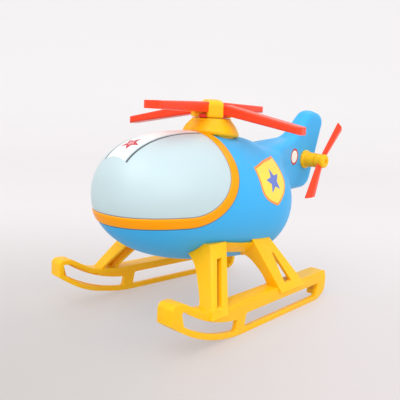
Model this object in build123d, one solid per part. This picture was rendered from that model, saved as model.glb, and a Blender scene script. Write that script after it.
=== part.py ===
from build123d import *
import math
import os

os.makedirs("parts", exist_ok=True)

# Toy helicopter in millimetres. The nose points to -Y, port is +X, and Z = 0 is the ground.
# The body and skids are mirrored about X = 0; the rotors, bearings and screws are not.

# Body: a surface of revolution about an axis that climbs towards the nose.
BODY_Y = 34.0
BODY_Z = 67.9
BODY_RADIUS = 38.7
NOSE_LENGTH = 86.6
STERN_LENGTH = 53.8
NOSE_FULLNESS = 2.6
STERN_FULLNESS = 2.95
NOSE_UP = 5.8
WALL = 2.5
MERIDIAN_STEPS = 6

# Canopy opening, seen from the side: a level sill, then a large arc that leans forward at the top.
SILL_Z = 65.1
CANOPY_REAR_Y = 7.2
CANOPY_CORNER = 30.4
CANOPY_ARC = 115.0
TRIM_WIDTH = 6.6
TRIM_RAISE = 1.4
TRIM_LIP = 2.5
TRIM_LIP_THICKNESS = 1.6

# Tail boom and fin
BOOM_ROOT_HALF = 17.0
FIN_HALF = 6.6
FIN_END_HALF = 5.1
BOOM_EDGE = 5.0
BOOM_INNER_EDGE = 2.2
BOOM_START_Y = 50
FIN_END_Y = 156
BOOM_SIDE = [(60, 97), (107, 104.5), (126.5, 124.4), (147.5, 120.5), (131, 67), (107, 64), (74, 58)]
BOOM_SIDE_RADII = [22.0, 11.0, 7.5, 9.5, 30.0]

# Main rotor
MAST_Y = 26.0
ROTOR_TURN = 11.3
DOME_RIM = 17.0
DOME_RIM_Z = 105.0
DOME_COLLAR_INSET = 1.3
DOME_SHOULDER = 14.9
DOME_SHOULDER_Z = 111.8
DOME_TOP_RADIUS = 11.6
DOME_TOP_Z = 116.0
DOME_WALL = 2.0
DOME_SCREW_X = 10.5
BUSH_RADIUS = 4.0
BUSH_FLANGE = 5.4
BUSH_BASE_Z = 108.4
MAST_OPENING = 7.0
MAST_TOP_Z = 126.2
MAST_OVERLAP = 0.2
WASHER_RADIUS = 4.6
WASHER_THICKNESS = 0.8
DOME_PILLAR_RADIUS = 3.0
HUB_RADIUS = 12.0
HUB_WALL = 2.0
HUB_BASE_Z = 116.3
HUB_TOP_Z = 127.6
BAR_REACH = 60.0
BAR_ROOT_CHORD = 9.6
BAR_TIP_CHORD = 12.0
BAR_ROOT_THICKNESS = 6.2
BAR_TIP_THICKNESS = 4.2
UPPER_BAR_Z = 122.4
LOWER_BAR_Z = 121.0
LOWER_BAR_TIP_Z = 111.7
BAR_LAP_Z = 121.7
BAR_EDGE = 1.2
BAR_CORNER = 3.5
HUB_DISC_TOP_Z = 118.4
MAST_RADIUS = 2.0
RUNNING_GAP = 0.06

# Tail rotor
TAIL_Y = 121.0
TAIL_Z = 88.6
TAIL_SEAM_X = 17.0
TAIL_END_X = 24.3
TAIL_BLADE_X = 21.0
TAIL_CAP_RADIUS = 4.8
TAIL_HUB_RADIUS = 3.2
TAIL_REACH = 30.0
TAIL_TURN = 29.0
TAIL_PITCH = 7.0
TAIL_SHAFT_RADIUS = 1.5
TAIL_BUSH_RADIUS = 3.2
TAIL_ROOT = 6.0
TAIL_TIP = 9.8
TAIL_BLADE_THICKNESS = 1.4
TAIL_CONING = 2.6
TAIL_TIP_SLANT = 20.0
TAIL_HUB_THICKNESS = 3.2
TAIL_GAP = 0.3
TAIL_SHAFT_END_X = 22.0
BOSS_FOOT_X = 4.0
BOSS_FOOT_RADIUS = 6.6
BOSS_END_RADIUS = 5.0

# Skid frames, port side; the starboard one is the mirror image.
TRACK_HALF = 50.0
TOE_IN = 3.0
RAIL_HEIGHT = 18.8
RAIL_WEB = 2.6
RAIL_WIDTH = 10.0
RAIL_FLANGE = 2.6
RAIL_BEND = 97.0
RAIL_BEND_Y = 8.0
RAIL_REAR_Y = 99.0
RAIL_NOSE_Y = -50.5
LEG_SPLAY = 0.595
LEG_FOOT_Z = 19.8
LEG_WALL = 2.2
SEAT_GAP = 0.1
SADDLE_THICKNESS = 2.0
SADDLE_INNER_X = 23.5
FRONT_LEG_SIDE = [(-23.4, 16), (-4.4, 48.5), (9.7, 48.5), (-10.2, 16)]
FRONT_LEG_ARCH = [(12.0, 46.0), (20.4, 42.2), (26.5, 38.6), (32.0, 33.2), (36.9, 26.9), (40.9, 20.7)]
REAR_LEG_SIDE = [(41.4, 16), (32.3, 49.4), (47.9, 49.4), (67.7, 16)]
REAR_LEG_ARCH = [(12.0, 38.0), (22.2, 36.0), (30.0, 33.8), (34.9, 29.7), (39.0, 24.8), (41.4, 19.5)]
SADDLE_SIDE = [(-9, 43), (-6.2, 46), (-4.4, 47.4), (11, 47.6), (24, 45.4), (38, 44.2), (48, 42), (50, 38)]
SADDLE_SIDE += [(49, 28), (37, 28), (32, 37.8), (14, 40.5), (2, 36), (-12, 36)]
SLOT_LOW = 3.1
SLOT_HIGH = 9.4
SLOT_FRONT_Y = -44.5

# Screws that hold each skid frame to its body shell, (X, Y, head Z), port side
SKID_SCREWS = [(28.0, -2.0, 40.5), (28.0, 46.0, 36.0)]

# Screws that close the body, (Y, Z, head depth X, end X)
BODY_SCREWS = [(-28.0, 50.0, -12.0, 10.0), (12.0, 39.0, -12.0, 10.0), (62.0, 44.0, -12.0, 10.0)]
BODY_SCREWS += [(76.0, 90.0, -10.0, 8.0), (130.0, 110.0, -3.4, 4.4)]

# Fasteners
SCREW_RADIUS = 1.2
SCREW_HEAD_RADIUS = 2.4
SCREW_HEAD = 1.7
POST_RADIUS = 3.4

FAR = 200.0

# The middle of the toy's overall length, where the saved parts have their origin
LENGTH_CENTRE = 45.985


def axis_plane():
    lean = math.radians(NOSE_UP)
    forward = (0, -math.cos(lean), math.sin(lean))
    return Plane(origin=(0, BODY_Y, BODY_Z), x_dir=forward, z_dir=(1, 0, 0))


def meridian(growth):
    """Superelliptic outline of the body above its axis, from nose to stern, grown evenly."""

    def quadrant(length, fullness):
        points = []
        for step in range(MERIDIAN_STEPS + 1):
            angle = math.pi / 2 * step / MERIDIAN_STEPS
            along = math.cos(angle) ** (2 / fullness) * (length + growth)
            out = math.sin(angle) ** (2 / fullness) * (BODY_RADIUS + growth)
            points.append((along, out))
        return points

    nose = quadrant(NOSE_LENGTH, NOSE_FULLNESS)
    stern = [(-along, out) for along, out in quadrant(STERN_LENGTH, STERN_FULLNESS)]
    return Spline(nose + stern[-2::-1], tangents=[(0, 1), (0, -1)])


def body_egg(growth=0.0, arc=360):
    """Body of revolution, grown evenly; an arc of 180 gives its port half."""
    outline = meridian(growth)
    half = make_face([outline, Line(outline @ 1, outline @ 0)])
    plane = axis_plane()
    return revolve(plane * half, axis=Axis(plane.origin, plane.x_dir), revolution_arc=arc)


def body_shell(outer, inner):
    """Even skin of the body between two growths, as one revolved ring."""
    outside = meridian(outer)
    inside = meridian(inner)
    section = make_face([outside, Line(outside @ 1, inside @ 1), inside, Line(inside @ 0, outside @ 0)])
    plane = axis_plane()
    return revolve(plane * section, axis=Axis(plane.origin, plane.x_dir))


def side_prism(face, half_width=FAR):
    """Face drawn in (Y, Z), extruded both ways along X."""
    return extrude(Plane.YZ * face, amount=half_width, both=True)


def canopy_prism(grow):
    """Everything above the sill and ahead of the canopy's rear arc, grown outwards."""
    sill_z = SILL_Z - grow
    sill = Line((-FAR, sill_z), (CANOPY_REAR_Y - CANOPY_CORNER, sill_z))
    corner = JernArc(start=sill @ 1, tangent=(1, 0), radius=CANOPY_CORNER + grow, arc_size=CANOPY_ARC)
    rear = Line(corner @ 1, corner @ 1 + (corner % 1) * FAR / 2)
    back = Polyline(rear @ 1, (-FAR, FAR), sill @ 0)
    return side_prism(make_face([sill, corner, rear, back]))


def boom_side(inset=0.0):
    """Side outline of the boom and fin, which starts inside the body."""
    upper = FilletPolyline(*BOOM_SIDE, radius=BOOM_SIDE_RADII)
    outline = make_face([upper, Line(upper @ 1, upper @ 0)])
    if inset:
        outline = offset(outline, -inset)
    return outline


def boom_plan(inset=0.0):
    """Plan outline: wide at the root, slimmer to the fin's trailing edge."""
    flank = Spline(
        (BOOM_ROOT_HALF - inset, BOOM_START_Y),
        (BOOM_ROOT_HALF - 2.4 - inset, 80),
        (FIN_HALF + 2.0 - inset, 103),
        (FIN_HALF - inset, TAIL_Y),
        (FIN_END_HALF - inset, FIN_END_Y),
    )
    cap = Polyline(flank @ 1, (0, FIN_END_Y), (0, BOOM_START_Y), flank @ 0)
    half = make_face([flank, cap])
    return half + mirror(half, about=Plane.YZ)


def boom_solid(inset, edge):
    """Boom and fin with rounded rims behind the body."""
    tall = extrude(boom_plan(inset), amount=FAR)
    boom = side_prism(boom_side(inset)) & tall
    rims = boom.edges().filter_by(lambda e: abs(e.center().X) > 1 and e.bounding_box().max.Y > 81)
    return fillet(rims, edge)


def cylinder_x(radius, x_low, x_high, y, z):
    return Plane((x_low, y, z), z_dir=(1, 0, 0)) * extrude(Circle(radius), amount=x_high - x_low)


def cylinder_z(radius, z_low, z_high, x, y):
    return Plane((x, y, z_low)) * extrude(Circle(radius), amount=z_high - z_low)


def save(node, shape):
    """Write one node, moved so that the origin lies under the middle of the whole toy."""
    export_step(Pos(0, -LENGTH_CENTRE, 0) * shape, os.path.join("parts", node + ".step"))


PORT_SIDE = Pos(FAR / 2, 0, 0) * Box(FAR, 4 * FAR, 4 * FAR)


def screw(shaft_length, head_radius=SCREW_HEAD_RADIUS, shaft_radius=SCREW_RADIUS):
    """Pan-head screw along +Z, with the underside of its head at the origin and a cross recess."""
    head = Pos(0, 0, -SCREW_HEAD) * extrude(Circle(head_radius), amount=SCREW_HEAD)
    head = fillet(head.edges().sort_by(Axis.Z)[0], 0.5)
    slot = Pos(0, 0, -SCREW_HEAD) * Box(2.6, 0.6, 1.6)
    shaft = extrude(Circle(shaft_radius), amount=shaft_length)
    return head - slot - Rot(0, 0, 90) * slot + shaft


# ---- body shells ----------------------------------------------------------------------------

outer_half = body_egg(0, 180) + (boom_solid(0, BOOM_EDGE) & PORT_SIDE)
cavity_half = body_egg(-WALL, 180) + (boom_solid(WALL, BOOM_INNER_EDGE) & PORT_SIDE)
window = canopy_prism(TRIM_WIDTH)
port_wall = outer_half - cavity_half - window
starboard_wall = mirror(port_wall, about=Plane.YZ)
starboard_cavity = mirror(cavity_half, about=Plane.YZ)

port_posts = []
starboard_posts = []
pilots = []
sockets = []
for y, z, head_x, end_x in BODY_SCREWS:
    port_posts.append(cylinder_x(POST_RADIUS, 0, FAR / 2, y, z) & cavity_half)
    starboard_posts.append(cylinder_x(POST_RADIUS, -FAR / 2, 0, y, z) & starboard_cavity)
    pilots.append(cylinder_x(SCREW_RADIUS, 0, end_x + 1, y, z))
    sockets.append(cylinder_x(SCREW_RADIUS + 0.2, head_x, 0, y, z))
    sockets.append(cylinder_x(SCREW_HEAD_RADIUS + 0.3, -FAR / 2, head_x, y, z))

skid_posts = []
skid_pilots = []
for x, y, head_z in SKID_SCREWS:
    skid_posts.append(cylinder_z(POST_RADIUS, 0, head_z + 20, x, y) & cavity_half)
    skid_pilots.append(cylinder_z(SCREW_RADIUS, 0, head_z + 17, x, y))

mast_opening = cylinder_z(MAST_OPENING, 90, 115, 0, MAST_Y)
dome_screw_hole = cylinder_z(SCREW_RADIUS + 0.2, 90, 115, DOME_SCREW_X, MAST_Y)

fuselage_port = port_wall + port_posts + skid_posts - pilots - skid_pilots
fuselage_port = fuselage_port - mast_opening - dome_screw_hole
fuselage_port -= cylinder_x(TAIL_BUSH_RADIUS, 0, 20, TAIL_Y, TAIL_Z)
fuselage_starboard = starboard_wall + starboard_posts
fuselage_starboard += [mirror(post, about=Plane.YZ) for post in skid_posts]
fuselage_starboard -= sockets
fuselage_starboard -= [mirror(pilot, about=Plane.YZ) for pilot in skid_pilots]
fuselage_starboard = fuselage_starboard - mast_opening - mirror(dome_screw_hole, about=Plane.YZ)
save("fuselage_port", fuselage_port)
save("fuselage_starboard", fuselage_starboard)

body_screws = []
for y, z, head_x, end_x in BODY_SCREWS:
    body_screws.append(Plane((head_x, y, z), z_dir=(1, 0, 0)) * screw(end_x - head_x))
save("fuselage_screws", Compound(body_screws))

# ---- canopy and its raised trim ---------------------------------------------------------------

canopy = body_shell(0, -WALL) & canopy_prism(-0.05)
save("canopy", canopy)

band = canopy_prism(TRIM_WIDTH - 0.05) - canopy_prism(0)
trim = body_shell(TRIM_RAISE, -WALL) & band
lip_band = canopy_prism(TRIM_WIDTH + TRIM_LIP) - canopy_prism(-TRIM_LIP)
lip = body_shell(-WALL - 0.05, -WALL - TRIM_LIP_THICKNESS) & lip_band
bridge = body_shell(-WALL + 0.5, -WALL - 0.5) & (canopy_prism(TRIM_WIDTH - 0.4) - canopy_prism(0.4))
save("canopy_trim", trim + bridge + lip)

# ---- rotor dome, fixed ------------------------------------------------------------------------


def dome_solid(inset, foot_z):
    """Bulging bell about the mast, down to a level foot."""
    rim = DOME_RIM - inset
    foot = Line((rim, foot_z), (rim, DOME_RIM_Z + 1.6))
    shoulder = (DOME_SHOULDER - inset, DOME_SHOULDER_Z - inset * 0.3)
    bulge = ThreePointArc(foot @ 1, shoulder, (DOME_TOP_RADIUS - inset * 0.6, DOME_TOP_Z - inset))
    cap = Polyline(bulge @ 1, (0, DOME_TOP_Z - inset), (0, foot_z), foot @ 0)
    return Pos(0, MAST_Y, 0) * revolve(Plane.XZ * make_face([foot, bulge, cap]), axis=Axis.Z)


dome = dome_solid(0, DOME_RIM_Z) + dome_solid(DOME_COLLAR_INSET, 96) - dome_solid(DOME_WALL + 1, 90)
dome += cylinder_z(BUSH_FLANGE, BUSH_BASE_Z + 1.2, DOME_TOP_Z - 0.5, 0, MAST_Y)
for side in (1, -1):
    dome += cylinder_z(DOME_PILLAR_RADIUS, 96, DOME_TOP_Z - 1.5, side * DOME_SCREW_X, MAST_Y)
dome = dome - body_egg(0.3) - (body_egg(TRIM_RAISE + 0.2) & canopy_prism(TRIM_WIDTH + 0.3))
dome -= cylinder_z(BUSH_RADIUS, 96, 130, 0, MAST_Y)
for side in (1, -1):
    dome -= cylinder_z(SCREW_RADIUS, 96, 113.5, side * DOME_SCREW_X, MAST_Y)
save("rotor_dome", dome)

bush = cylinder_z(BUSH_RADIUS, BUSH_BASE_Z, DOME_TOP_Z, 0, MAST_Y)
bush += cylinder_z(BUSH_FLANGE, BUSH_BASE_Z, BUSH_BASE_Z + 1.2, 0, MAST_Y)
bush -= cylinder_z(MAST_RADIUS + RUNNING_GAP, 100, 130, 0, MAST_Y)
save("mast_bush", bush)

dome_screws = [Pos(side * DOME_SCREW_X, MAST_Y, 102.3) * screw(9.5) for side in (1, -1)]
save("dome_screws", Compound(dome_screws))

# ---- main rotor -------------------------------------------------------------------------------

ROTOR = Pos(0, MAST_Y, 0) * Rot(0, 0, ROTOR_TURN)


def bar_section(reach, z, chord, thickness):
    plane = Plane((reach, 0, z), x_dir=(0, 1, 0), z_dir=(1, 0, 0))
    return plane * RectangleRounded(chord, thickness, BAR_EDGE)


def bar(root_z, tip_z):
    """Tapered two-ended rotor bar along X, which droops from the hub to its tips."""
    root = bar_section(HUB_RADIUS, root_z, BAR_ROOT_CHORD, BAR_ROOT_THICKNESS)
    tip = bar_section(BAR_REACH, tip_z, BAR_TIP_CHORD, BAR_TIP_THICKNESS)
    arm = loft([root, tip], ruled=True)
    middle = extrude(root, amount=-2 * HUB_RADIUS)
    plan = extrude(RectangleRounded(2 * BAR_REACH, BAR_TIP_CHORD, BAR_CORNER), amount=FAR)
    return (arm + middle + Rot(0, 0, 180) * arm) & plan


lap = BAR_ROOT_CHORD / 2 + 0.05
upper_bar = Rot(0, 0, 90) * bar(UPPER_BAR_Z, UPPER_BAR_Z)
upper_bar -= Pos(0, 0, BAR_LAP_Z - 5) * Box(4 * lap, 2 * lap, 10)
lower_bar = bar(LOWER_BAR_Z, LOWER_BAR_TIP_Z)
lower_bar -= Pos(0, 0, BAR_LAP_Z + 5) * Box(2 * lap, 4 * lap, 10)
hub_disc = extrude(Circle(HUB_RADIUS - HUB_WALL - 0.15), amount=HUB_DISC_TOP_Z - HUB_BASE_Z)
lower_bar += Pos(0, 0, HUB_BASE_Z) * hub_disc
mast_hole = extrude(Circle(MAST_RADIUS + 0.02), amount=FAR)
save("blade_bar_upper", ROTOR * (upper_bar - mast_hole))
save("blade_bar_lower", ROTOR * (lower_bar - mast_hole))


def hub_dome(inset):
    """Bell of the hub cap; the inset gives its hollow."""
    base = Line((0, HUB_BASE_Z), (HUB_RADIUS - inset, HUB_BASE_Z))
    skirt = Spline(
        base @ 1,
        (HUB_RADIUS - 0.4 - inset, 119.0),
        (HUB_RADIUS - 1.4 - inset, 122.0 - 0.2 * inset),
        (HUB_RADIUS - 3.0 - inset, 124.5 - 0.5 * inset),
        (HUB_RADIUS - 4.8 - inset, 126.2 - 0.8 * inset),
        (HUB_RADIUS - 7.4 - inset, HUB_TOP_Z - 0.2 - inset),
        (0, HUB_TOP_Z - inset),
        tangents=[(0, 1), (-1, 0)],
    )
    return revolve(Plane.XZ * make_face([base, skirt, Line(skirt @ 1, base @ 0)]), axis=Axis.Z)


cap = hub_dome(0) - hub_dome(HUB_WALL)
slot_width = BAR_ROOT_CHORD + 0.2
upper_slot_top = UPPER_BAR_Z + BAR_ROOT_THICKNESS / 2 + 0.05
lower_slot_top = LOWER_BAR_Z + BAR_ROOT_THICKNESS / 2 + 0.05
cap -= Pos(0, 0, upper_slot_top - 10) * Box(slot_width, 3 * HUB_RADIUS, 20)
cap -= Pos(0, 0, lower_slot_top - 10) * Box(3 * HUB_RADIUS, slot_width, 20)
cap -= Pos(0, 0, HUB_BASE_Z) * extrude(Circle(MAST_RADIUS), amount=10)
save("hub_cap", ROTOR * cap)

mast_foot_z = BUSH_BASE_Z - MAST_OVERLAP
mast = Pos(0, 0, mast_foot_z) * extrude(Circle(MAST_RADIUS), amount=MAST_TOP_Z - mast_foot_z)
mast -= extrude(Circle(SCREW_RADIUS), amount=mast_foot_z + 6)
save("mast_shaft", ROTOR * mast)
washer = Cylinder(WASHER_RADIUS, WASHER_THICKNESS) - Cylinder(SCREW_RADIUS + 0.05, 2)
save("mast_washer", ROTOR * (Pos(0, 0, mast_foot_z - WASHER_THICKNESS / 2) * washer))
save("mast_screw", ROTOR * (Pos(0, 0, mast_foot_z - WASHER_THICKNESS) * screw(6)))

# ---- tail rotor -------------------------------------------------------------------------------

TAIL_AXIS = Plane((0, TAIL_Y, TAIL_Z), x_dir=(0, 0, 1), z_dir=(1, 0, 0))
boss_outline = Polyline((0, BOSS_FOOT_X), (BOSS_FOOT_RADIUS, BOSS_FOOT_X), (BOSS_FOOT_RADIUS, 7.8))
boss_flare = Spline(
    boss_outline @ 1, (5.8, 9.0), (5.35, 11.0), (BOSS_END_RADIUS, TAIL_SEAM_X), tangents=[(0, 1), (0, 1)]
)
boss_back = Polyline(boss_flare @ 1, (0, TAIL_SEAM_X), (0, BOSS_FOOT_X))
boss = revolve(Plane.XZ * make_face([boss_outline, boss_flare, boss_back]), axis=Axis.Z)
boss = TAIL_AXIS * boss - outer_half
boss -= cylinder_x(TAIL_BUSH_RADIUS, 0, 20, TAIL_Y, TAIL_Z)
save("tail_boss", boss)

tail_bush = cylinder_x(TAIL_BUSH_RADIUS, 3.9, TAIL_SEAM_X, TAIL_Y, TAIL_Z)
tail_bush += cylinder_x(4.6, 2.9, 4.0, TAIL_Y, TAIL_Z) & cavity_half
tail_bush -= cylinder_x(TAIL_SHAFT_RADIUS + RUNNING_GAP, 0, 20, TAIL_Y, TAIL_Z)
save("tail_bush", tail_bush)
save("tail_shaft", cylinder_x(TAIL_SHAFT_RADIUS, 1.0, TAIL_SHAFT_END_X, TAIL_Y, TAIL_Z))
push_nut = cylinder_x(3.4, 1.7, 2.6, TAIL_Y, TAIL_Z) - cylinder_x(TAIL_SHAFT_RADIUS, 0, 5, TAIL_Y, TAIL_Z)
save("tail_push_nut", push_nut)

BLADE_FRAME = TAIL_AXIS * Rot(0, 0, -TAIL_TURN)


def blade_section(reach, chord, coning):
    """Ridged section of one tail blade, pitched about its own radius."""
    half = chord / 2
    low = -TAIL_BLADE_THICKNESS / 2
    points = [(-half, low), (half, low), (half, 0.2), (0, -low + 0.6), (-half, 0.2)]
    face = make_face(Polyline(*points, close=True))
    plane = Plane((reach, 0, TAIL_BLADE_X + coning), x_dir=(0, 1, 0), z_dir=(1, 0, 0))
    return plane * Rot(0, 0, TAIL_PITCH) * face


blade_root = blade_section(0, TAIL_ROOT, 0)
blade_neck = blade_section(TAIL_CAP_RADIUS, TAIL_ROOT, 0)
blade_tip = blade_section(TAIL_REACH + 2, TAIL_TIP, TAIL_CONING)
tip_cut = Pos(0, 0, TAIL_BLADE_X) * Rot(0, 0, -TAIL_TIP_SLANT) * Box(2 * TAIL_REACH, 60, 40)
blade = loft([blade_root, blade_neck]) + (loft([blade_neck, blade_tip]) & tip_cut)
blade_pair = blade + Rot(0, 0, 180) * blade
tail_hub = Pos(0, 0, TAIL_BLADE_X) * Cylinder(TAIL_HUB_RADIUS, TAIL_HUB_THICKNESS)
shaft_bore = extrude(Circle(TAIL_SHAFT_RADIUS), amount=TAIL_SHAFT_END_X)
tail_blades = blade_pair + tail_hub - shaft_bore
save("tail_blades", BLADE_FRAME * tail_blades)

tail_base_z = TAIL_SEAM_X + TAIL_GAP
tail_cap = Pos(0, 0, tail_base_z) * extrude(Circle(TAIL_CAP_RADIUS), amount=TAIL_END_X - tail_base_z)
tail_cap = fillet(tail_cap.edges().sort_by(Axis.Z)[-1], 1.6)
tail_cap -= Pos(0, 0, TAIL_END_X - 0.8) * extrude(Circle(1.4), amount=2.0)
tail_cap = tail_cap - tail_hub - shaft_bore - blade_pair
tail_collar = tail_cap & (Pos(0, 0, TAIL_BLADE_X - 10) * Box(20, 20, 20))
tail_cap = tail_cap & (Pos(0, 0, TAIL_BLADE_X + 10) * Box(20, 20, 20))
save("tail_collar", BLADE_FRAME * tail_collar)
save("tail_hub_cap", BLADE_FRAME * tail_cap)

# ---- skid frames ------------------------------------------------------------------------------


def bend_z(y, rise=0.0):
    """Height of the curve that runs parallel to the rail's turned-up front."""
    radius = RAIL_BEND - rise
    return RAIL_BEND - math.sqrt(radius**2 - (y - RAIL_BEND_Y) ** 2)


sole = Line((RAIL_REAR_Y - 10, 0), (RAIL_BEND_Y, 0))
turn_up = ThreePointArc((RAIL_BEND_Y, 0), (-24, bend_z(-24)), (RAIL_NOSE_Y, bend_z(RAIL_NOSE_Y)))
rail_corners = [
    turn_up @ 1,
    (RAIL_NOSE_Y, 29.6),
    (-42.5, 29.4),
    (-27, 20.8),
    (-8, RAIL_HEIGHT),
    (RAIL_REAR_Y - 2.0, RAIL_HEIGHT),
    (RAIL_REAR_Y, 13.5),
    (RAIL_REAR_Y, 4),
    sole @ 0,
]
rail_top = FilletPolyline(*rail_corners, radius=[3.2, 6.0, 20.0, 30.0, 1.6, 4.0, 6.0])
rail_face = make_face([sole, turn_up, rail_top])
rail_inner = offset(rail_face, -RAIL_FLANGE)
rail_x = TRACK_HALF - RAIL_WIDTH
web_x = TRACK_HALF - RAIL_WEB
below = side_prism(make_face(Polyline((-46, -5), (-40, 18), (-20, 8), (93, 8), (93, -5), close=True)))
taper = [(rail_x - 1, -42), (web_x, -14), (web_x, 93), (rail_x - 1, 93)]
below &= extrude(make_face(Polyline(*taper, close=True)), amount=40, both=True)
frame = Pos(rail_x, 0, 0) * extrude(Plane.YZ * (rail_face - rail_inner), amount=RAIL_WIDTH) - below
frame += Pos(web_x, 0, 0) * extrude(Plane.YZ * rail_face, amount=RAIL_WEB)


def leg_outer_x(z):
    return TRACK_HALF - LEG_SPLAY * (z - LEG_FOOT_Z)


def leg(side_corners, arch, foot):
    """Splayed channel leg: an outer web with a flange along its front and rear edges."""
    side = make_face(Polyline(*side_corners, close=True))
    outer = Line((leg_outer_x(14), 14), (leg_outer_x(62), 62))
    inner = Spline(*arch, foot)
    front = make_face([outer, Line(outer @ 1, inner @ 0), inner, Line(inner @ 1, outer @ 0)])
    block = side_prism(side) & extrude(Plane.XZ * front, amount=FAR, both=True)
    hollow_side = offset(side, -LEG_WALL)
    reach = LEG_WALL * math.hypot(1, LEG_SPLAY)
    shift = Pos(-reach, 0, 0)
    wide = Polyline((leg_outer_x(0), 0), (leg_outer_x(80), 80), (-60, 80), (-60, 0), close=True)
    inward = shift * extrude(Plane.XZ * make_face(wide), amount=FAR, both=True)
    hollow = side_prism(hollow_side) & inward
    return block - hollow


frame += leg(FRONT_LEG_SIDE, FRONT_LEG_ARCH, (41.6, 14.0))
frame += leg(REAR_LEG_SIDE, REAR_LEG_ARCH, (41.8, 14.0))

saddle = body_egg(SADDLE_THICKNESS + SEAT_GAP) & side_prism(make_face(Polyline(*SADDLE_SIDE, close=True)))
saddle &= Pos(FAR / 2 + SADDLE_INNER_X, 0, 0) * Box(FAR, 4 * FAR, 4 * FAR)
toe = Pos(TRACK_HALF, 0, 0) * Rot(0, 0, TOE_IN) * Pos(-TRACK_HALF, 0, 0)
frame = toe * frame + saddle
for x, y, head_z in SKID_SCREWS:
    frame += cylinder_z(4.0, head_z, head_z + 8, x, y)
frame -= body_egg(SEAT_GAP)
frame &= Pos(0, 0, 28) * Box(2 * FAR, 4 * FAR, 56)
for x, y, head_z in SKID_SCREWS:
    frame -= cylinder_z(SCREW_RADIUS + 0.2, head_z, head_z + 14, x, y)
    frame -= cylinder_z(SCREW_HEAD_RADIUS + 0.3, head_z - 8, head_z, x, y)



def slot_arc(ends, rise):
    """Arc of the front slot, parallel to the rail's turned-up front."""
    rear_y, front_y = ends
    through = [(y, bend_z(y, rise)) for y in (rear_y, -20, front_y)]
    return ThreePointArc(*through)


slot_sole = slot_arc((0, -42), SLOT_LOW)
slot_roof = slot_arc((1.5, SLOT_FRONT_Y), SLOT_HIGH)
slot_ends = [Line(slot_sole @ 0, slot_roof @ 0), Line(slot_roof @ 1, slot_sole @ 1)]
slot_front = make_face([slot_sole, slot_roof, *slot_ends])
slot_front = fillet(slot_front.vertices(), 1.2)
slot_rear = make_face(Polyline((8, SLOT_LOW), (9.5, 11.3), (90, 11.3), (86.5, SLOT_LOW), close=True))
slot_rear = fillet(slot_rear.vertices(), 1.5)
front_leg_slot = make_face(Polyline((-16.6, 20.2), (-12.6, 20.2), (1.0, 41.5), (-3.0, 41.5), close=True))
rear_leg_slot = make_face(Polyline((48.0, 20.2), (55.5, 20.2), (48.4, 37.0), (46.9, 37.0), close=True))
for outline, low_x in ((slot_front, 44), (slot_rear, 44), (front_leg_slot, 30), (rear_leg_slot, 30)):
    frame -= toe * Pos(low_x, 0, 0) * extrude(Plane.YZ * outline, amount=30)
save("port_skid_frame", frame)
save("starboard_skid_frame", mirror(frame, about=Plane.YZ))

skid_screws = []
for x, y, head_z in SKID_SCREWS:
    for side in (1, -1):
        skid_screws.append(Pos(side * x, y, head_z) * screw(15))
save("skid_screws", Compound(skid_screws))
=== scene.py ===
import math

import bmesh
import bpy
import numpy as np
from mathutils import Matrix, Vector


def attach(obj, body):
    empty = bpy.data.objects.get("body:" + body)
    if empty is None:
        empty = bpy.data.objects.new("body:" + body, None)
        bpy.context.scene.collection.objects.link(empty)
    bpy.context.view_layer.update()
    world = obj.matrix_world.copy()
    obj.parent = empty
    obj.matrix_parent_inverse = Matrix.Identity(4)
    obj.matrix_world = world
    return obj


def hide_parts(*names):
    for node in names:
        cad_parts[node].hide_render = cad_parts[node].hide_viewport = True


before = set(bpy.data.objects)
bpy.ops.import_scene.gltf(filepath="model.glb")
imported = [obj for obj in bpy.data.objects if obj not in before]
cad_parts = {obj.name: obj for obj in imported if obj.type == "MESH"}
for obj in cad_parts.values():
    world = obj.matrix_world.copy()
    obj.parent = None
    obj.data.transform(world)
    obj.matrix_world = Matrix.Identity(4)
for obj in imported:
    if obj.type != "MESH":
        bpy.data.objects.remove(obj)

bl_info = {
    "name": "Toy Helicopter",
    "version": (1, 0, 0),
    "blender": (4, 5, 0),
    "location": "View3D > Sidebar > Toy Helicopter",
    "description": "Skins, prints and finishes for an egg-bodied toy helicopter",
    "category": "Add Mesh",
}

MM = 0.001

# The frame's origin lies at the middle of the toy's length, which is at this Y of the design
LENGTH_CENTRE = 45.985
MAST_Y = (26.0 - LENGTH_CENTRE) * MM

# Side outline of boom and fin as corners in Y and Z, and the rounding of each corner
BOOM_CORNERS = [
    (60, 97),
    (107, 104.5),
    (126.5, 124.4),
    (147.5, 120.5),
    (131, 67.4),
    (107, 66.6),
    (74, 61.5),
]
BOOM_SIDE = (np.array(BOOM_CORNERS) - [LENGTH_CENTRE, 0]) * MM
BOOM_SIDE_RADII = np.array([0.0, 22.0, 11.0, 7.5, 11.0, 30.0, 0.0]) * MM

# Plan of boom and fin: half widths at stations along the toy
BOOM_PLAN_Y = (np.array([50.0, 80.0, 103.0, 121.0, 156.0]) - LENGTH_CENTRE) * MM
BOOM_PLAN_HALF = np.array([17.0, 14.6, 8.6, 6.6, 5.1]) * MM

# Heights from and to which the soft blend on the flanks grows, from above and from below
FLANK_FROM_TOP = (103 * MM, 92 * MM)
FLANK_FROM_BELOW = (70 * MM, 83 * MM)

# Screws that close the body: Y, Z and the X of the floor of each well
BODY_SCREWS = [(-28, 50, -12), (12, 39, -12), (62, 44, -12), (76, 90, -10), (130, 110, -3.4)]
WELL_RADIUS = 2.7 * MM
WELL_REACH = 50 * MM

# Point inside the body from which the canopy is cast, and the way to the panel's middle
CANOPY_ORIGIN = np.array([0.0, -60.0, 70.0]) * MM
CANOPY_MIDDLE = np.array([0.0, -0.55, 0.83])

# Outer and inner radius of the printed stars
NOSE_STAR = (6.2 * MM, 2.8 * MM)
SHIELD_STAR = (7.5 * MM, 3.3 * MM)

# How far one, two and three layers of ink stand above the moulding
INK_LIFT = (0.04 * MM, 0.07 * MM, 0.10 * MM)

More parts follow.
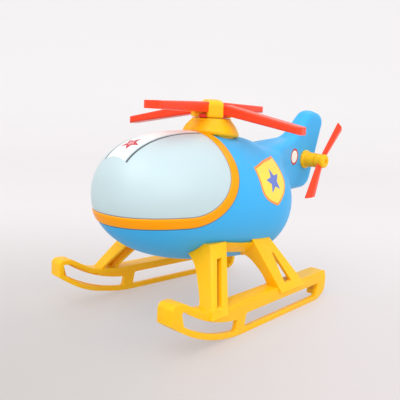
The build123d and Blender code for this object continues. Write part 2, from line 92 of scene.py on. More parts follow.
# Colours of painted shade along the canopy rim's crease, and of scuffs, dust and steel
RIM_CREASE_SHADE = (0.22, 0.17, 0.15, 1)
SCUFFED = (0.9, 0.9, 0.88, 1)
DUST = (0.85, 0.84, 0.82, 1)
STEEL_DARK = (0.52, 0.52, 0.53, 1)
STEEL_BRIGHT = (0.72, 0.72, 0.70, 1)
NATURAL_PLASTIC = (0.8, 0.79, 0.74)

# Painted light on the studio paper, as tones near the camera on its two sides, under the toy and
# behind it; then the tone of its fibres
PAPER_LIGHT_LEFT = (0.49, 0.465, 0.45, 1)
PAPER_LIGHT_RIGHT = (0.62, 0.58, 0.575, 1)
PAPER_LIGHT_MIDDLE = (0.725, 0.70, 0.71, 1)
PAPER_LIGHT_BACK = (0.80, 0.785, 0.79, 1)
PAPER_FIBRE = (0.70, 0.69, 0.69, 1)
SURROUND = (1.0, 0.985, 0.99, 1)


# ---- sizes and colours that a user would change ---------------------------------------------


def length(name, default, description):
    """A length property in metres, given here in millimetres."""
    return bpy.props.FloatProperty(
        name=name, default=default * MM, description=description, unit="LENGTH", precision=5
    )


def station(name, default, description):
    """A place along the toy, given in millimetres from the design's own origin."""
    return length(name, default - LENGTH_CENTRE, description)


def angle(name, default, description):
    return bpy.props.FloatProperty(
        name=name, default=math.radians(default), description=description, unit="ROTATION"
    )


def number(name, default, description):
    return bpy.props.FloatProperty(name=name, default=default, description=description)


def count(name, default, description):
    return bpy.props.IntProperty(name=name, default=default, description=description, min=3)


def colour(name, default, description):
    return bpy.props.FloatVectorProperty(
        name=name, default=default, description=description, subtype="COLOR", size=3, min=0, max=1
    )


class BodyShape(bpy.types.PropertyGroup):
    """The egg body with its boom and fin, in the frame of the CAD model."""

    ring_y: station("Widest ring Y", 34.0, "Where the body is widest along the toy")
    ring_z: length("Widest ring Z", 67.9, "Height of the body's axis at its widest ring")
    radius: length("Radius", 38.7, "Largest radius of the body")
    nose: length("Nose length", 86.6, "From the widest ring to the tip of the nose")
    stern: length("Stern length", 49.6, "From the widest ring to the tip of the stern")
    fullness: number("Nose fullness", 2.6, "Superellipse exponent of the outline ahead of the ring")
    stern_fullness: number("Stern fullness", 2.95, "Superellipse exponent behind the ring")
    stern_skew: number("Stern skew", 0.42, "Drop of that exponent over the crest, rise below")
    lean: angle("Nose up", 5.8, "How far the body's axis climbs towards the nose")
    blend: length("Root blend", 1.6, "Reach of the crease over and under the boom's root")
    flank_blend: length("Flank blend", 12.0, "Reach of the blend on the flanks of the boom's root")
    edge: length("Boom edge", 5.0, "Rounding along the rims of the boom and the fin")
    seam: length("Seam depth", 0.22, "Depth of the parting groove between the two half shells")
    seam_width: length("Seam width", 0.28, "Half width of the parting groove")
    sink: length("Sink", 0.9, "How far the shells lie back under the canopy and its rim")


class CanopyShape(bpy.types.PropertyGroup):
    """The canopy's outline in side view and its raised rim."""

    sill_z: length("Sill Z", 65.2, "Height of the canopy's level sill")
    rear_y: station("Rear edge Y", 8.4, "How far back the canopy's rear arc reaches")
    corner: length("Corner radius", 29.0, "Radius of the arc between sill and top")
    rake: angle("Rake", -1.0, "How far the rear arc turns forward past upright")
    rim_width: length("Rim width", 6.0, "Width of the raised rim")
    rim_raise: length("Rim height", 0.6, "How far the rim stands above the body")


class PaintColours(bpy.types.PropertyGroup):
    """Colours of the mouldings and of the prints."""

    blue: colour("Body blue", (0.041, 0.435, 0.86), "Moulded blue of the body")
    pale: colour("Canopy pale", (0.51, 0.655, 0.69), "Painted canopy")
    orange: colour("Rim orange", (1.0, 0.355, 0.0), "Painted rim round the canopy")
    yellow: colour("Frame yellow", (1.0, 0.52, 0.002), "Moulded yellow of the skids and hubs")
    red: colour("Blade red", (0.97, 0.052, 0.008), "Moulded red of the blades")
    ink_white: colour("White ink", (0.88, 0.90, 0.88), "Print white")
    ink_grey: colour("Grey ink", (0.07, 0.085, 0.09), "Print dark grey")
    ink_crimson: colour("Crimson ink", (0.52, 0.02, 0.05), "Print crimson")
    ink_pink: colour("Pink ink", (0.90, 0.30, 0.33), "Print pink")
    ink_yellow: colour("Yellow ink", (0.96, 0.72, 0.07), "Print yellow")
    ink_orange: colour("Orange ink", (0.93, 0.28, 0.03), "Print orange")
    ink_blue: colour("Blue ink", (0.13, 0.20, 0.62), "Print violet blue")


class PrintLayout(bpy.types.PropertyGroup):
    """Places and sizes of the prints: on the nose from the body's widest ring along its top and
    from the middle plane, on the flanks in side view."""

    stripe_start: length("Stripe start", 30.0, "Rear end of the nose stripes")
    stripe_end: length("Stripe end", 86.0, "Front end of the nose stripes")
    stripe_half: length("Stripe half width", 7.5, "Half the width of the white stripe")
    pinstripe_inner: length("Pinstripe inner edge", 8.5, "Near edge of the grey pinstripes")
    pinstripe_outer: length("Pinstripe outer edge", 9.7, "Far edge of the grey pinstripes")
    star_place: length("Nose star", 74.0, "Where the star lies on the white stripe")
    heart: number("Star heart", 0.45, "Size of the pink heart within the nose star")
    shield_y: length("Shield Y", -1.2, "Middle of the shields along the toy")
    shield_z: length("Shield Z", 81.0, "Height of the middle of the shields")
    shield_lean: angle("Shield lean", 11.0, "Lean of the shields towards the nose")
    shield_width: length("Shield width", 27.5, "Width of the shields")
    shield_height: length("Shield height", 26.8, "Height of the shields")
    shield_field: number("Shield field", 0.9, "Size of the yellow field within a shield")
    ring_y: length("Ring Y", 59.3, "Middle of the boom's printed rings along the toy")
    ring_z: length("Ring Z", 90.9, "Height of the middle of the rings")
    ring_radius: length("Ring radius", 5.8, "Outer radius of the rings")
    disc_radius: length("Disc radius", 4.4, "Radius of the white disc within a ring")


class StudioSetup(bpy.types.PropertyGroup):
    """Camera, lights and floor."""

    azimuth: angle("Camera azimuth", 43.504, "Camera's direction round the toy, 0 looks along +Y")
    elevation: angle("Camera elevation", 9.56, "Camera's height above the horizon")
    roll: angle("Camera roll", 2.804, "Turn of the camera about its own axis")
    lens: number("Focal length", 49.743, "In millimetres on a 36 mm sensor")
    place: bpy.props.FloatVectorProperty(
        name="Camera place",
        default=(0.229057, -0.221462 - LENGTH_CENTRE * MM, 0.122273),
        description="Where the camera stands",
        subtype="TRANSLATION",
        size=3,
    )
    key: number("Key light", 5.1, "Power of the large soft key light, in watts")
    fill: number("Fill light", 3.1, "Power of the soft fill light, in watts")
    sky: number("Surround", 0.99, "Brightness of the pale surround")
    softbox: number("Softbox", 0.9, "Side of the square lights, in metres")


PROPERTY_GROUPS = {
    "heli_body": BodyShape,
    "heli_canopy": CanopyShape,
    "heli_paint": PaintColours,
    "heli_prints": PrintLayout,
    "heli_studio": StudioSetup,
}


def body():
    return bpy.context.scene.heli_body


def canopy():
    return bpy.context.scene.heli_canopy


def paint():
    return bpy.context.scene.heli_paint


# ---- meshes from grids ------------------------------------------------------------------------


def grid_faces(rows, columns, closed_rows, closed_columns):
    """Quads of a grid of rows times columns points, as whole index arrays."""
    i = np.arange(rows if closed_rows else rows - 1)
    j = np.arange(columns if closed_columns else columns - 1)
    i, j = np.meshgrid(i, j, indexing="ij")
    i_next = (i + 1) % rows
    j_next = (j + 1) % columns
    here, after = i * columns, i_next * columns
    return np.stack([here + j, here + j_next, after + j_next, after + j], axis=-1).reshape(-1, 4)


def make_piece(name, points, faces, material, attributes=None, merge=1e-4 * MM, flat_angle=40):
    """A smooth-shaded mesh object from points in metres; doubled points at poles are merged."""
    mesh = bpy.data.meshes.new(name)
    mesh.from_pydata(points.reshape(-1, 3), [], faces)
    for key, values in (attributes or {}).items():
        layer = mesh.attributes.new(key, "FLOAT", "POINT")
        layer.data.foreach_set("value", values.astype(np.float32).ravel())
    mesh.validate()
    if merge:
        work = bmesh.new()
        work.from_mesh(mesh)
        bmesh.ops.remove_doubles(work, verts=work.verts, dist=merge)
        bmesh.ops.recalc_face_normals(work, faces=work.faces)
        work.to_mesh(mesh)
        work.free()
    mesh.shade_smooth()
    mesh.set_sharp_from_angle(angle=math.radians(flat_angle))
    mesh.materials.append(material)
    piece = bpy.data.objects.new(name, mesh)
    bpy.context.scene.collection.objects.link(piece)
    return piece


def grid_piece(name, points, material, closed_rows=False, closed_columns=False, **options):
    """A piece from a grid of points, rows times columns times three."""
    faces = grid_faces(points.shape[0], points.shape[1], closed_rows, closed_columns)
    return make_piece(name, points, faces, material, **options)


def smooth_step(low, high, value):
    """Rise from 0 at low to 1 at high, level at both ends."""
    t = np.clip((value - low) / (high - low), 0, 1)
    return t * t * (3 - 2 * t)


def soft_join(a, b, reach):
    """Smaller of two distances, with the crease between them filled over a reach."""
    overlap = np.maximum(reach - np.abs(a - b), 0) / reach
    return np.minimum(a, b) - overlap * overlap * reach / 4


def rounded_solid(past, rounding):
    """Distance to a solid with rounded edges, from the distances past its pairs of faces: each is
    moved in by the rounding, and those that are outside combine as a length."""
    past = past + rounding
    outside = np.linalg.norm(np.maximum(past, 0), axis=-1)
    return outside + np.minimum(past.max(-1), 0) - rounding


def cast_rays(distance, start, ways, reach, rounds=30):
    """First crossing of a surface on rays from inside it, by halving each ray's span."""
    low = np.zeros(ways.shape[:-1])
    high = np.full(ways.shape[:-1], reach)
    for _ in range(rounds):
        middle = (low + high) / 2
        inside = distance(start + middle[..., None] * ways) < 0
        low, high = np.where(inside, middle, low), np.where(inside, high, middle)
    return start + ((low + high) / 2)[..., None] * ways


# ---- the body as a field ----------------------------------------------------------------------


def rounded_outline(corners, radii, steps=9):
    """Closed polygon with each corner replaced by an arc: the arc's centre is on the corner's
    bisector, and its ends are the radius times the cotangent of half the corner from it."""
    before = np.roll(corners, 1, axis=0) - corners
    after = np.roll(corners, -1, axis=0) - corners
    before /= np.linalg.norm(before, axis=1)[:, None]
    after /= np.linalg.norm(after, axis=1)[:, None]
    half = np.arccos(np.clip((before * after).sum(1), -1, 1)) / 2
    bisector = before + after
    bisector /= np.linalg.norm(bisector, axis=1)[:, None]
    centre = corners + bisector * (radii / np.sin(half))[:, None]
    tangent_length = (radii / np.tan(half))[:, None]
    start = corners + before * tangent_length - centre
    finish = corners + after * tangent_length - centre
    turn = math.pi - 2 * half
    t = np.linspace(0, 1, steps)[None, :, None]
    weight_a = np.sin((1 - t) * turn[:, None, None]) / np.sin(turn)[:, None, None]
    weight_b = np.sin(t * turn[:, None, None]) / np.sin(turn)[:, None, None]
    arcs = centre[:, None] + weight_a * start[:, None] + weight_b * finish[:, None]
    return arcs.reshape(-1, 2)


def outline_distance(points, outline):
    """Signed distance to a closed polygon: least distance to an edge, negative inside, where the
    number of edges crossed by a ray is odd."""
    best = np.full(points.shape[:-1], 1e9)
    inside = np.zeros(points.shape[:-1], bool)
    for a, b in zip(outline, np.roll(outline, -1, axis=0)):
        edge = b - a
        size = edge @ edge
        if size < 1e-16:
            continue
        away = points - a
        t = np.clip((away @ edge) / size, 0, 1)
        gap = away - t[..., None] * edge
        best = np.minimum(best, (gap * gap).sum(-1))
        crosses = (a[1] > points[..., 1]) != (b[1] > points[..., 1])
        if a[1] != b[1]:
            reach = (b[0] - a[0]) * (points[..., 1] - a[1]) / (b[1] - a[1]) + a[0]
            inside ^= crosses & (points[..., 0] < reach)
    return np.where(inside, -1, 1) * np.sqrt(best)


def boom_half_width(y):
    """Half width of boom and fin: a smooth curve through the plan stations (cubic in each span)."""
    slope = np.gradient(BOOM_PLAN_HALF, BOOM_PLAN_Y)
    i = np.clip(np.searchsorted(BOOM_PLAN_Y, y) - 1, 0, len(BOOM_PLAN_Y) - 2)
    span = BOOM_PLAN_Y[i + 1] - BOOM_PLAN_Y[i]
    t = np.clip((y - BOOM_PLAN_Y[i]) / span, 0, 1)
    a, b = BOOM_PLAN_HALF[i], BOOM_PLAN_HALF[i + 1]
    return (
        a * (1 + 2 * t) * (1 - t) ** 2
        + b * t * t * (3 - 2 * t)
        + span * (slope[i] * t * (1 - t) ** 2 - slope[i + 1] * t * t * (1 - t))
    )


class BodyField:
    """Distance field of the body: a superellipsoid of revolution joined to the boom by a smooth
    minimum, so that the crease between them is a soft blend."""

    step = 0.5 * MM  # of the table of the boom's side distance
    far = 50 * MM  # distance given where there is no boom

    def __init__(self):
        shape = body()
        self.ring = np.array([shape.ring_y, shape.ring_z])
        self.forward = np.array([-math.cos(shape.lean), math.sin(shape.lean)])
        self.up = np.array([math.sin(shape.lean), math.cos(shape.lean)])
        self.radius, self.nose, self.stern = shape.radius, shape.nose, shape.stern
        self.nose_power, self.stern_power = shape.fullness, shape.stern_fullness
        self.stern_skew = shape.stern_skew
        self.blend, self.flank_blend, self.edge = shape.blend, shape.flank_blend, shape.edge
        outline = rounded_outline(BOOM_SIDE, BOOM_SIDE_RADII)
        self.grid_y = np.arange(0.0, 112 * MM, self.step)
        self.grid_z = np.arange(50 * MM, 132 * MM, self.step)
        samples = np.stack(np.meshgrid(self.grid_y, self.grid_z, indexing="ij"), axis=-1)
        self.side = outline_distance(samples, outline)

    def side_distance(self, y, z):
        """Signed distance to the boom's side outline, read from a fine table."""
        fy = np.clip((y - self.grid_y[0]) / self.step, 0, len(self.grid_y) - 1.001)
        fz = np.clip((z - self.grid_z[0]) / self.step, 0, len(self.grid_z) - 1.001)
        i, j = fy.astype(int), fz.astype(int)
        u, v = fy - i, fz - j
        return (
            self.side[i, j] * (1 - u) * (1 - v)
            + self.side[i + 1, j] * u * (1 - v)
            + self.side[i, j + 1] * (1 - u) * v
            + self.side[i + 1, j + 1] * u * v
        )

    def axial(self, y, z):
        """Distance along the body's axis from its widest ring, and height above that axis."""
        dy, dz = y - self.ring[0], z - self.ring[1]
        return dy * self.forward[0] + dz * self.forward[1], dy * self.up[0] + dz * self.up[1]

    def place(self, along, above):
        """The Y and Z of a point given along the body's axis and above it."""
        y = self.ring[0] + along * self.forward[0] + above * self.up[0]
        z = self.ring[1] + along * self.forward[1] + above * self.up[1]
        return y, z

    def end(self, along):
        """Length and superellipse exponent of the end of the body that each place is in."""
        ahead = along > 0
        reach = np.where(ahead, self.nose, self.stern)
        return reach, np.where(ahead, self.nose_power, self.stern_power)

    def egg(self, x, y, z):
        """Superellipsoid level less one, over the length of its gradient: close to a distance.
        Behind the ring the exponent falls with the height over the axis."""
        along, above = self.axial(y, z)
        reach, n = self.end(along)
        a = np.abs(along) + 1e-9
        r = np.hypot(x, above) + 1e-9
        n = n - np.where(along > 0, 0, self.stern_skew * above / r)
        level = ((a / reach) ** n + (r / self.radius) ** n) ** (1 / n)
        slope_a = level ** (1 - n) * a ** (n - 1) / reach**n
        slope_r = level ** (1 - n) * r ** (n - 1) / self.radius**n
        return (level - 1) / np.hypot(slope_a, slope_r)

    def boom(self, x, y, z):
        """Side outline and plan width met with a round edge. Ahead of the table it is far off."""
        side = self.side_distance(y, z)
        plan = np.abs(x) - boom_half_width(y)
        distance = rounded_solid(np.stack([side, plan], axis=-1), self.edge)
        return np.where(y < self.grid_y[0] + 2 * self.step, self.far, distance)

    def distance(self, points):
        """Egg and boom joined softly: over a short reach, and over a long one on the flanks."""
        x, y, z = points[..., 0], points[..., 1], points[..., 2]
        flank = smooth_step(*FLANK_FROM_TOP, z) * smooth_step(*FLANK_FROM_BELOW, z)
        reach = self.blend + (self.flank_blend - self.blend) * flank
        return soft_join(self.egg(x, y, z), self.boom(x, y, z), reach)

    def side_x(self, y, z):
        """Half width of the body at a point of its side view."""
        start = np.stack([np.zeros_like(y), y, z], axis=-1)
        ways = np.broadcast_to(np.array([1.0, 0.0, 0.0]), start.shape)
        return cast_rays(self.distance, start, ways, 45 * MM)[..., 0]

    def normal(self, points, step=0.02 * MM):
        """Gradient of the field by central differences, made unit length."""
        shifts = np.eye(3) * step
        slopes = [self.distance(points + s) - self.distance(points - s) for s in shifts]
        slopes = np.stack(slopes, axis=-1)
        return slopes / np.linalg.norm(slopes, axis=-1)[..., None]

    def meridian(self, angle_along):
        """Superellipse of the egg: cosine and sine raised to two over the fullness."""
        c, s = np.cos(angle_along), np.sin(angle_along)
        reach, power = self.end(c)
        along = np.sign(c) * np.abs(c) ** (2 / power) * reach
        return along, np.abs(s) ** (2 / power) * self.radius


def window_distance(y, z):
    """Signed distance in side view from the canopy's outline, negative inside: in the rear arc's
    sector the distance from its centre less its radius, elsewhere the larger of the distances to
    the sill and to the arc's upper tangent."""
    shape = canopy()
    dy, dz = y - shape.rear_y + shape.corner, z - shape.sill_z - shape.corner
    bearing = np.arctan2(dz, dy)
    tangent = dy * math.cos(shape.rake) + dz * math.sin(shape.rake)
    in_sector = (bearing > -math.pi / 2) & (bearing < shape.rake)
    return np.where(in_sector, np.hypot(dy, dz), np.maximum(tangent, -dz)) - shape.corner


# ---- materials --------------------------------------------------------------------------------


class Nodes:
    """Short calls for placing and linking shader nodes in one tree."""

    def __init__(self, tree):
        self.tree = tree
        self.column = 0

    def feed(self, socket, value):
        """Link a socket to another one, or set its value."""
        if isinstance(value, bpy.types.NodeSocket):
            self.tree.links.new(value, socket)
        else:
            socket.default_value = value

    def add(self, kind, inputs=None, **settings):
        """A new node with its settings, then with its inputs linked or set."""
        node = self.tree.nodes.new(kind)
        self.column += 1
        node.location = (self.column * 180 - 1500, -(self.column % 4) * 160)
        for key, value in settings.items():
            setattr(node, key, value)
        for key, value in (inputs or {}).items():
            self.feed(node.inputs[key], value)
        return node

    def maths(self, operation, a, b=0.0, clamp=False):
        node = self.add("ShaderNodeMath", {0: a, 1: b}, operation=operation, use_clamp=clamp)
        return node.outputs[0]

    def times(self, a, b, clamp=False):
        return self.maths("MULTIPLY", a, b, clamp)

    def swing(self, value, amount):
        """A pattern's swing about its middle value of a half, scaled."""
        return self.times(self.maths("SUBTRACT", value, 0.5), amount)

    def blend(self, factor, a, b, kind="MIX"):
        """Mix of two colours; the numbers are the mix node's factor and colour sockets."""
        node = self.add("ShaderNodeMix", data_type="RGBA", blend_type=kind)
        for key, value in ((0, factor), (6, a), (7, b)):
            self.feed(node.inputs[key], value)
        return node.outputs[2]

    def ramp(self, value, low, high):
        """Smooth rise from 0 to 1 between two values."""
        inputs = {0: value, 1: low, 2: high, 3: 0.0, 4: 1.0}
        return self.add("ShaderNodeMapRange", inputs, interpolation_type="SMOOTHSTEP").outputs[0]

    def place(self):
        return self.add("ShaderNodeTexCoord").outputs["Object"]

    def mapped(self, place, scale, rotation=(0, 0, 0)):
        inputs = {"Vector": place, "Rotation": rotation, "Scale": scale}
        return self.add("ShaderNodeMapping", inputs).outputs["Vector"]

    def noise(self, place, scale, detail, roughness=0.5):
        inputs = {"Vector": place, "Scale": scale, "Detail": detail, "Roughness": roughness}
        return self.add("ShaderNodeTexNoise", inputs).outputs["Fac"]

    def attribute(self, name):
        return self.add("ShaderNodeAttribute", attribute_name=name).outputs["Fac"]

    def shade(self, tint, value):
        """A colour with its brightness multiplied."""
        return self.add("ShaderNodeHueSaturation", {"Color": tint, "Value": value}).outputs["Color"]

    def bump(self, height, distance, strength=0.5):
        inputs = {"Strength": strength, "Distance": distance, "Height": height}
        return self.add("ShaderNodeBump", inputs).outputs["Normal"]

    def group(self, tree, inputs):
        return self.add("ShaderNodeGroup", inputs, node_tree=tree).outputs

    def surface(self, inputs):
        """The material's shader and output."""
        shader = self.add("ShaderNodeBsdfPrincipled", inputs).outputs[0]
        self.add("ShaderNodeOutputMaterial", {"Surface": shader})


def new_group(name, inputs, outputs):
    """An empty shader group: inputs as name, socket type and default, outputs as name and type."""
    tree = bpy.data.node_groups.new(name, "ShaderNodeTree")
    for socket, kind, default in inputs:
        made = tree.interface.new_socket(name=socket, in_out="INPUT", socket_type=kind)
        made.default_value = default
    for socket, kind in outputs:
        tree.interface.new_socket(name=socket, in_out="OUTPUT", socket_type=kind)
    return tree


def new_material(name):
    """A material with an empty tree, and the short calls for that tree."""
    material = bpy.data.materials.new(name)
    material.use_nodes = True
    material.node_tree.nodes.clear()
    return material, Nodes(material.node_tree)


def moulding_group():
    """Moulded plastic: slow drifts of tone, fine orange peel, faint hairline scuffs and specks."""
    made = bpy.data.node_groups.get("moulded_plastic")
    if made:
        return made
    made = new_group(
        "moulded_plastic",
        [
            ("Colour", "NodeSocketColor", (0.8, 0.8, 0.8, 1)),
            ("Tone drift", "NodeSocketFloat", 0.06),
            ("Roughness", "NodeSocketFloat", 0.35),
            ("Scuffs", "NodeSocketFloat", 0.3),
        ],
        [
            ("Colour", "NodeSocketColor"),
            ("Roughness", "NodeSocketFloat"),
            ("Height", "NodeSocketFloat"),
        ],
    )
    n = Nodes(made)
    given = n.add("NodeGroupInput").outputs
    place = n.place()
    drift = n.noise(place, 26.0, 3.0)
    streak = n.noise(n.mapped(place, (1.0, 0.35, 1.0)), 90.0, 2.0, 0.4)
    tone = n.maths("ADD", n.times(drift, 0.7), n.times(streak, 0.3))
    tone = n.maths("ADD", n.swing(tone, given["Tone drift"]), 1.0)
    shade = n.shade(given["Colour"], tone)
    voronoi = n.add("ShaderNodeTexVoronoi", {"Vector": place, "Scale": 420.0}, feature="F1")
    speck = n.maths("SUBTRACT", 1.0, n.ramp(voronoi.outputs["Distance"], 0.02, 0.06))
    speck = n.times(speck, n.times(given["Scuffs"], 0.35))
    shade = n.blend(speck, shade, SCUFFED)
    turned = n.mapped(place, (9.0, 1.0, 1.0), (0.5, 0.9, 0.4))
    hair = n.ramp(n.noise(turned, 240.0, 4.0, 0.7), 0.66, 0.74)
    scuff = n.times(hair, given["Scuffs"])
    wipe = n.noise(place, 48.0, 4.0)
    rough = n.maths("ADD", given["Roughness"], n.swing(wipe, 0.16))
    rough = n.maths("ADD", rough, n.times(scuff, 0.18), clamp=True)
    peel = n.noise(place, 900.0, 2.0)
    height = n.maths("SUBTRACT", peel, n.times(scuff, 0.35))
    n.add("NodeGroupOutput", {"Colour": shade, "Roughness": rough, "Height": height})
    return made


def dust_group():
    """Faint dust on faces that look up, broken by noise: a mask from 0 to 1."""
    made = bpy.data.node_groups.get("settled_dust")
    if made:
        return made
    amount = [("Amount", "NodeSocketFloat", 0.1)]
    made = new_group("settled_dust", amount, [("Mask", "NodeSocketFloat")])
    n = Nodes(made)
    given = n.add("NodeGroupInput").outputs
    normal = n.add("ShaderNodeNewGeometry").outputs["Normal"]
    upward = n.add("ShaderNodeSeparateXYZ", {0: normal}).outputs["Z"]
    cloud = n.noise(n.place(), 70.0, 5.0, 0.65)
    mask = n.times(n.ramp(upward, 0.35, 1.0), n.ramp(cloud, 0.42, 0.75))
    n.add("NodeGroupOutput", {"Mask": n.times(mask, given["Amount"], clamp=True)})
    return made


def plastic(
    name,
    tint,
    roughness=0.35,
    drift=0.06,
    scuffs=0.3,
    peel=0.02 * MM,
    dust=0.08,
    shine=0.5,
    glow=0.0,
    warmth=(1.0, 0.9, 0.8),
    line=None,
):
    """A moulded or painted plastic. Its glow is the light that pigmented plastic passes on just
    under its surface. A line is an attribute in metres beside which painted shade darkens the
    colour, as the shadow of the raised canopy rim."""
    found = bpy.data.materials.get(name)
    if found:
        return found
    material, n = new_material(name)
    given = {"Colour": (*tint, 1), "Tone drift": drift, "Roughness": roughness, "Scuffs": scuffs}
    look = n.group(moulding_group(), given)
    tone = look["Colour"]
    if line:
        # Painted shade: darkens the colour within a millimetre of the line, as the shadow beside
        # the raised rim
        edge = n.maths("ABSOLUTE", n.attribute(line))
        near = n.maths("SUBTRACT", 1.0, n.ramp(edge, 0.1 * MM, 0.8 * MM))
        tone = n.blend(n.times(near, 0.8), tone, n.blend(1.0, tone, RIM_CREASE_SHADE, "MULTIPLY"))
    film = n.group(dust_group(), {"Amount": dust})["Mask"]
    n.surface({
        "Base Color": n.blend(film, tone, DUST),
        "Roughness": n.maths("ADD", look["Roughness"], n.times(film, 0.4), clamp=True),
        "Normal": n.bump(look["Height"], peel),
        "IOR": 1.5,
        "Specular IOR Level": shine,
        "Subsurface Weight": glow,
        "Subsurface Radius": warmth,
        "Subsurface Scale": 1.2 * MM,
    })
    return material


def ink(name, tint):
    """Pad-printed ink: flat colour with slight thinning and a fine screen of pinholes."""
    found = bpy.data.materials.get(name)
    if found:
        return found
    material, n = new_material(name)
    place = n.place()
    thin = n.noise(place, 160.0, 4.0)
    n.surface({
        "Base Color": n.shade((*tint, 1), n.maths("ADD", n.swing(thin, 0.12), 1.0)),
        "Roughness": n.maths("ADD", n.swing(thin, 0.15), 0.305),
        "Normal": n.bump(n.noise(place, 1500.0, 2.0), 0.01 * MM, 0.4),
        "IOR": 1.5,
    })
    return material


def plated_steel():
    """Zinc-plated steel: brushed turning marks and dull patches."""
    found = bpy.data.materials.get("plated_steel")
    if found:
        return found
    material, n = new_material("plated_steel")
    place = n.place()
    marks = n.noise(place, 700.0, 5.0)
    n.surface({
        "Base Color": n.blend(n.noise(place, 300.0, 3.0), STEEL_DARK, STEEL_BRIGHT),
        "Roughness": n.maths("ADD", n.times(marks, 0.3), 0.2),
        "Metallic": 1.0,
        "Normal": n.bump(marks, 0.02 * MM),
    })
    return material


def blue_plastic():
    return plastic(
        "body_blue_plastic",
        paint().blue,
        roughness=0.42,
        drift=0.05,
        scuffs=0.25,
        glow=0.12,
        shine=0.3,
        # Painted shade along the canopy rim's outer edge, carried by rim_line
        line="rim_line",
    )


def yellow_plastic():
    return plastic(
        "frame_yellow_plastic",
        paint().yellow,
        roughness=0.38,
        scuffs=0.35,
        glow=0.4,
        shine=0.25,
        warmth=(1.0, 0.5, 0.15),
    )


def red_plastic():
    return plastic(
        "blade_red_plastic", paint().red, roughness=0.3, drift=0.05, glow=0.15, shine=0.35
    )


def pale_paint():
    return plastic(
        "canopy_pale_paint",
        paint().pale,
        roughness=0.36,
        drift=0.035,
        scuffs=0.2,
        peel=0.015 * MM,
        dust=0.05,
        glow=0.1,
        # Painted shade along the canopy's edge under the rim, carried by rim_line
        line="rim_line",
    )


def orange_paint():
    return plastic(
        "rim_orange_paint",
        paint().orange,
        roughness=0.34,
        drift=0.04,
        scuffs=0.2,
        glow=0.1,
        shine=0.18,
    )


def dress(nodes, material):
    """Give CAD nodes one material in place of their own."""
    for name in nodes:
        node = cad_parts[name]
        node.data.materials.clear()
        node.data.materials.append(material)


# ---- operators --------------------------------------------------------------------------------


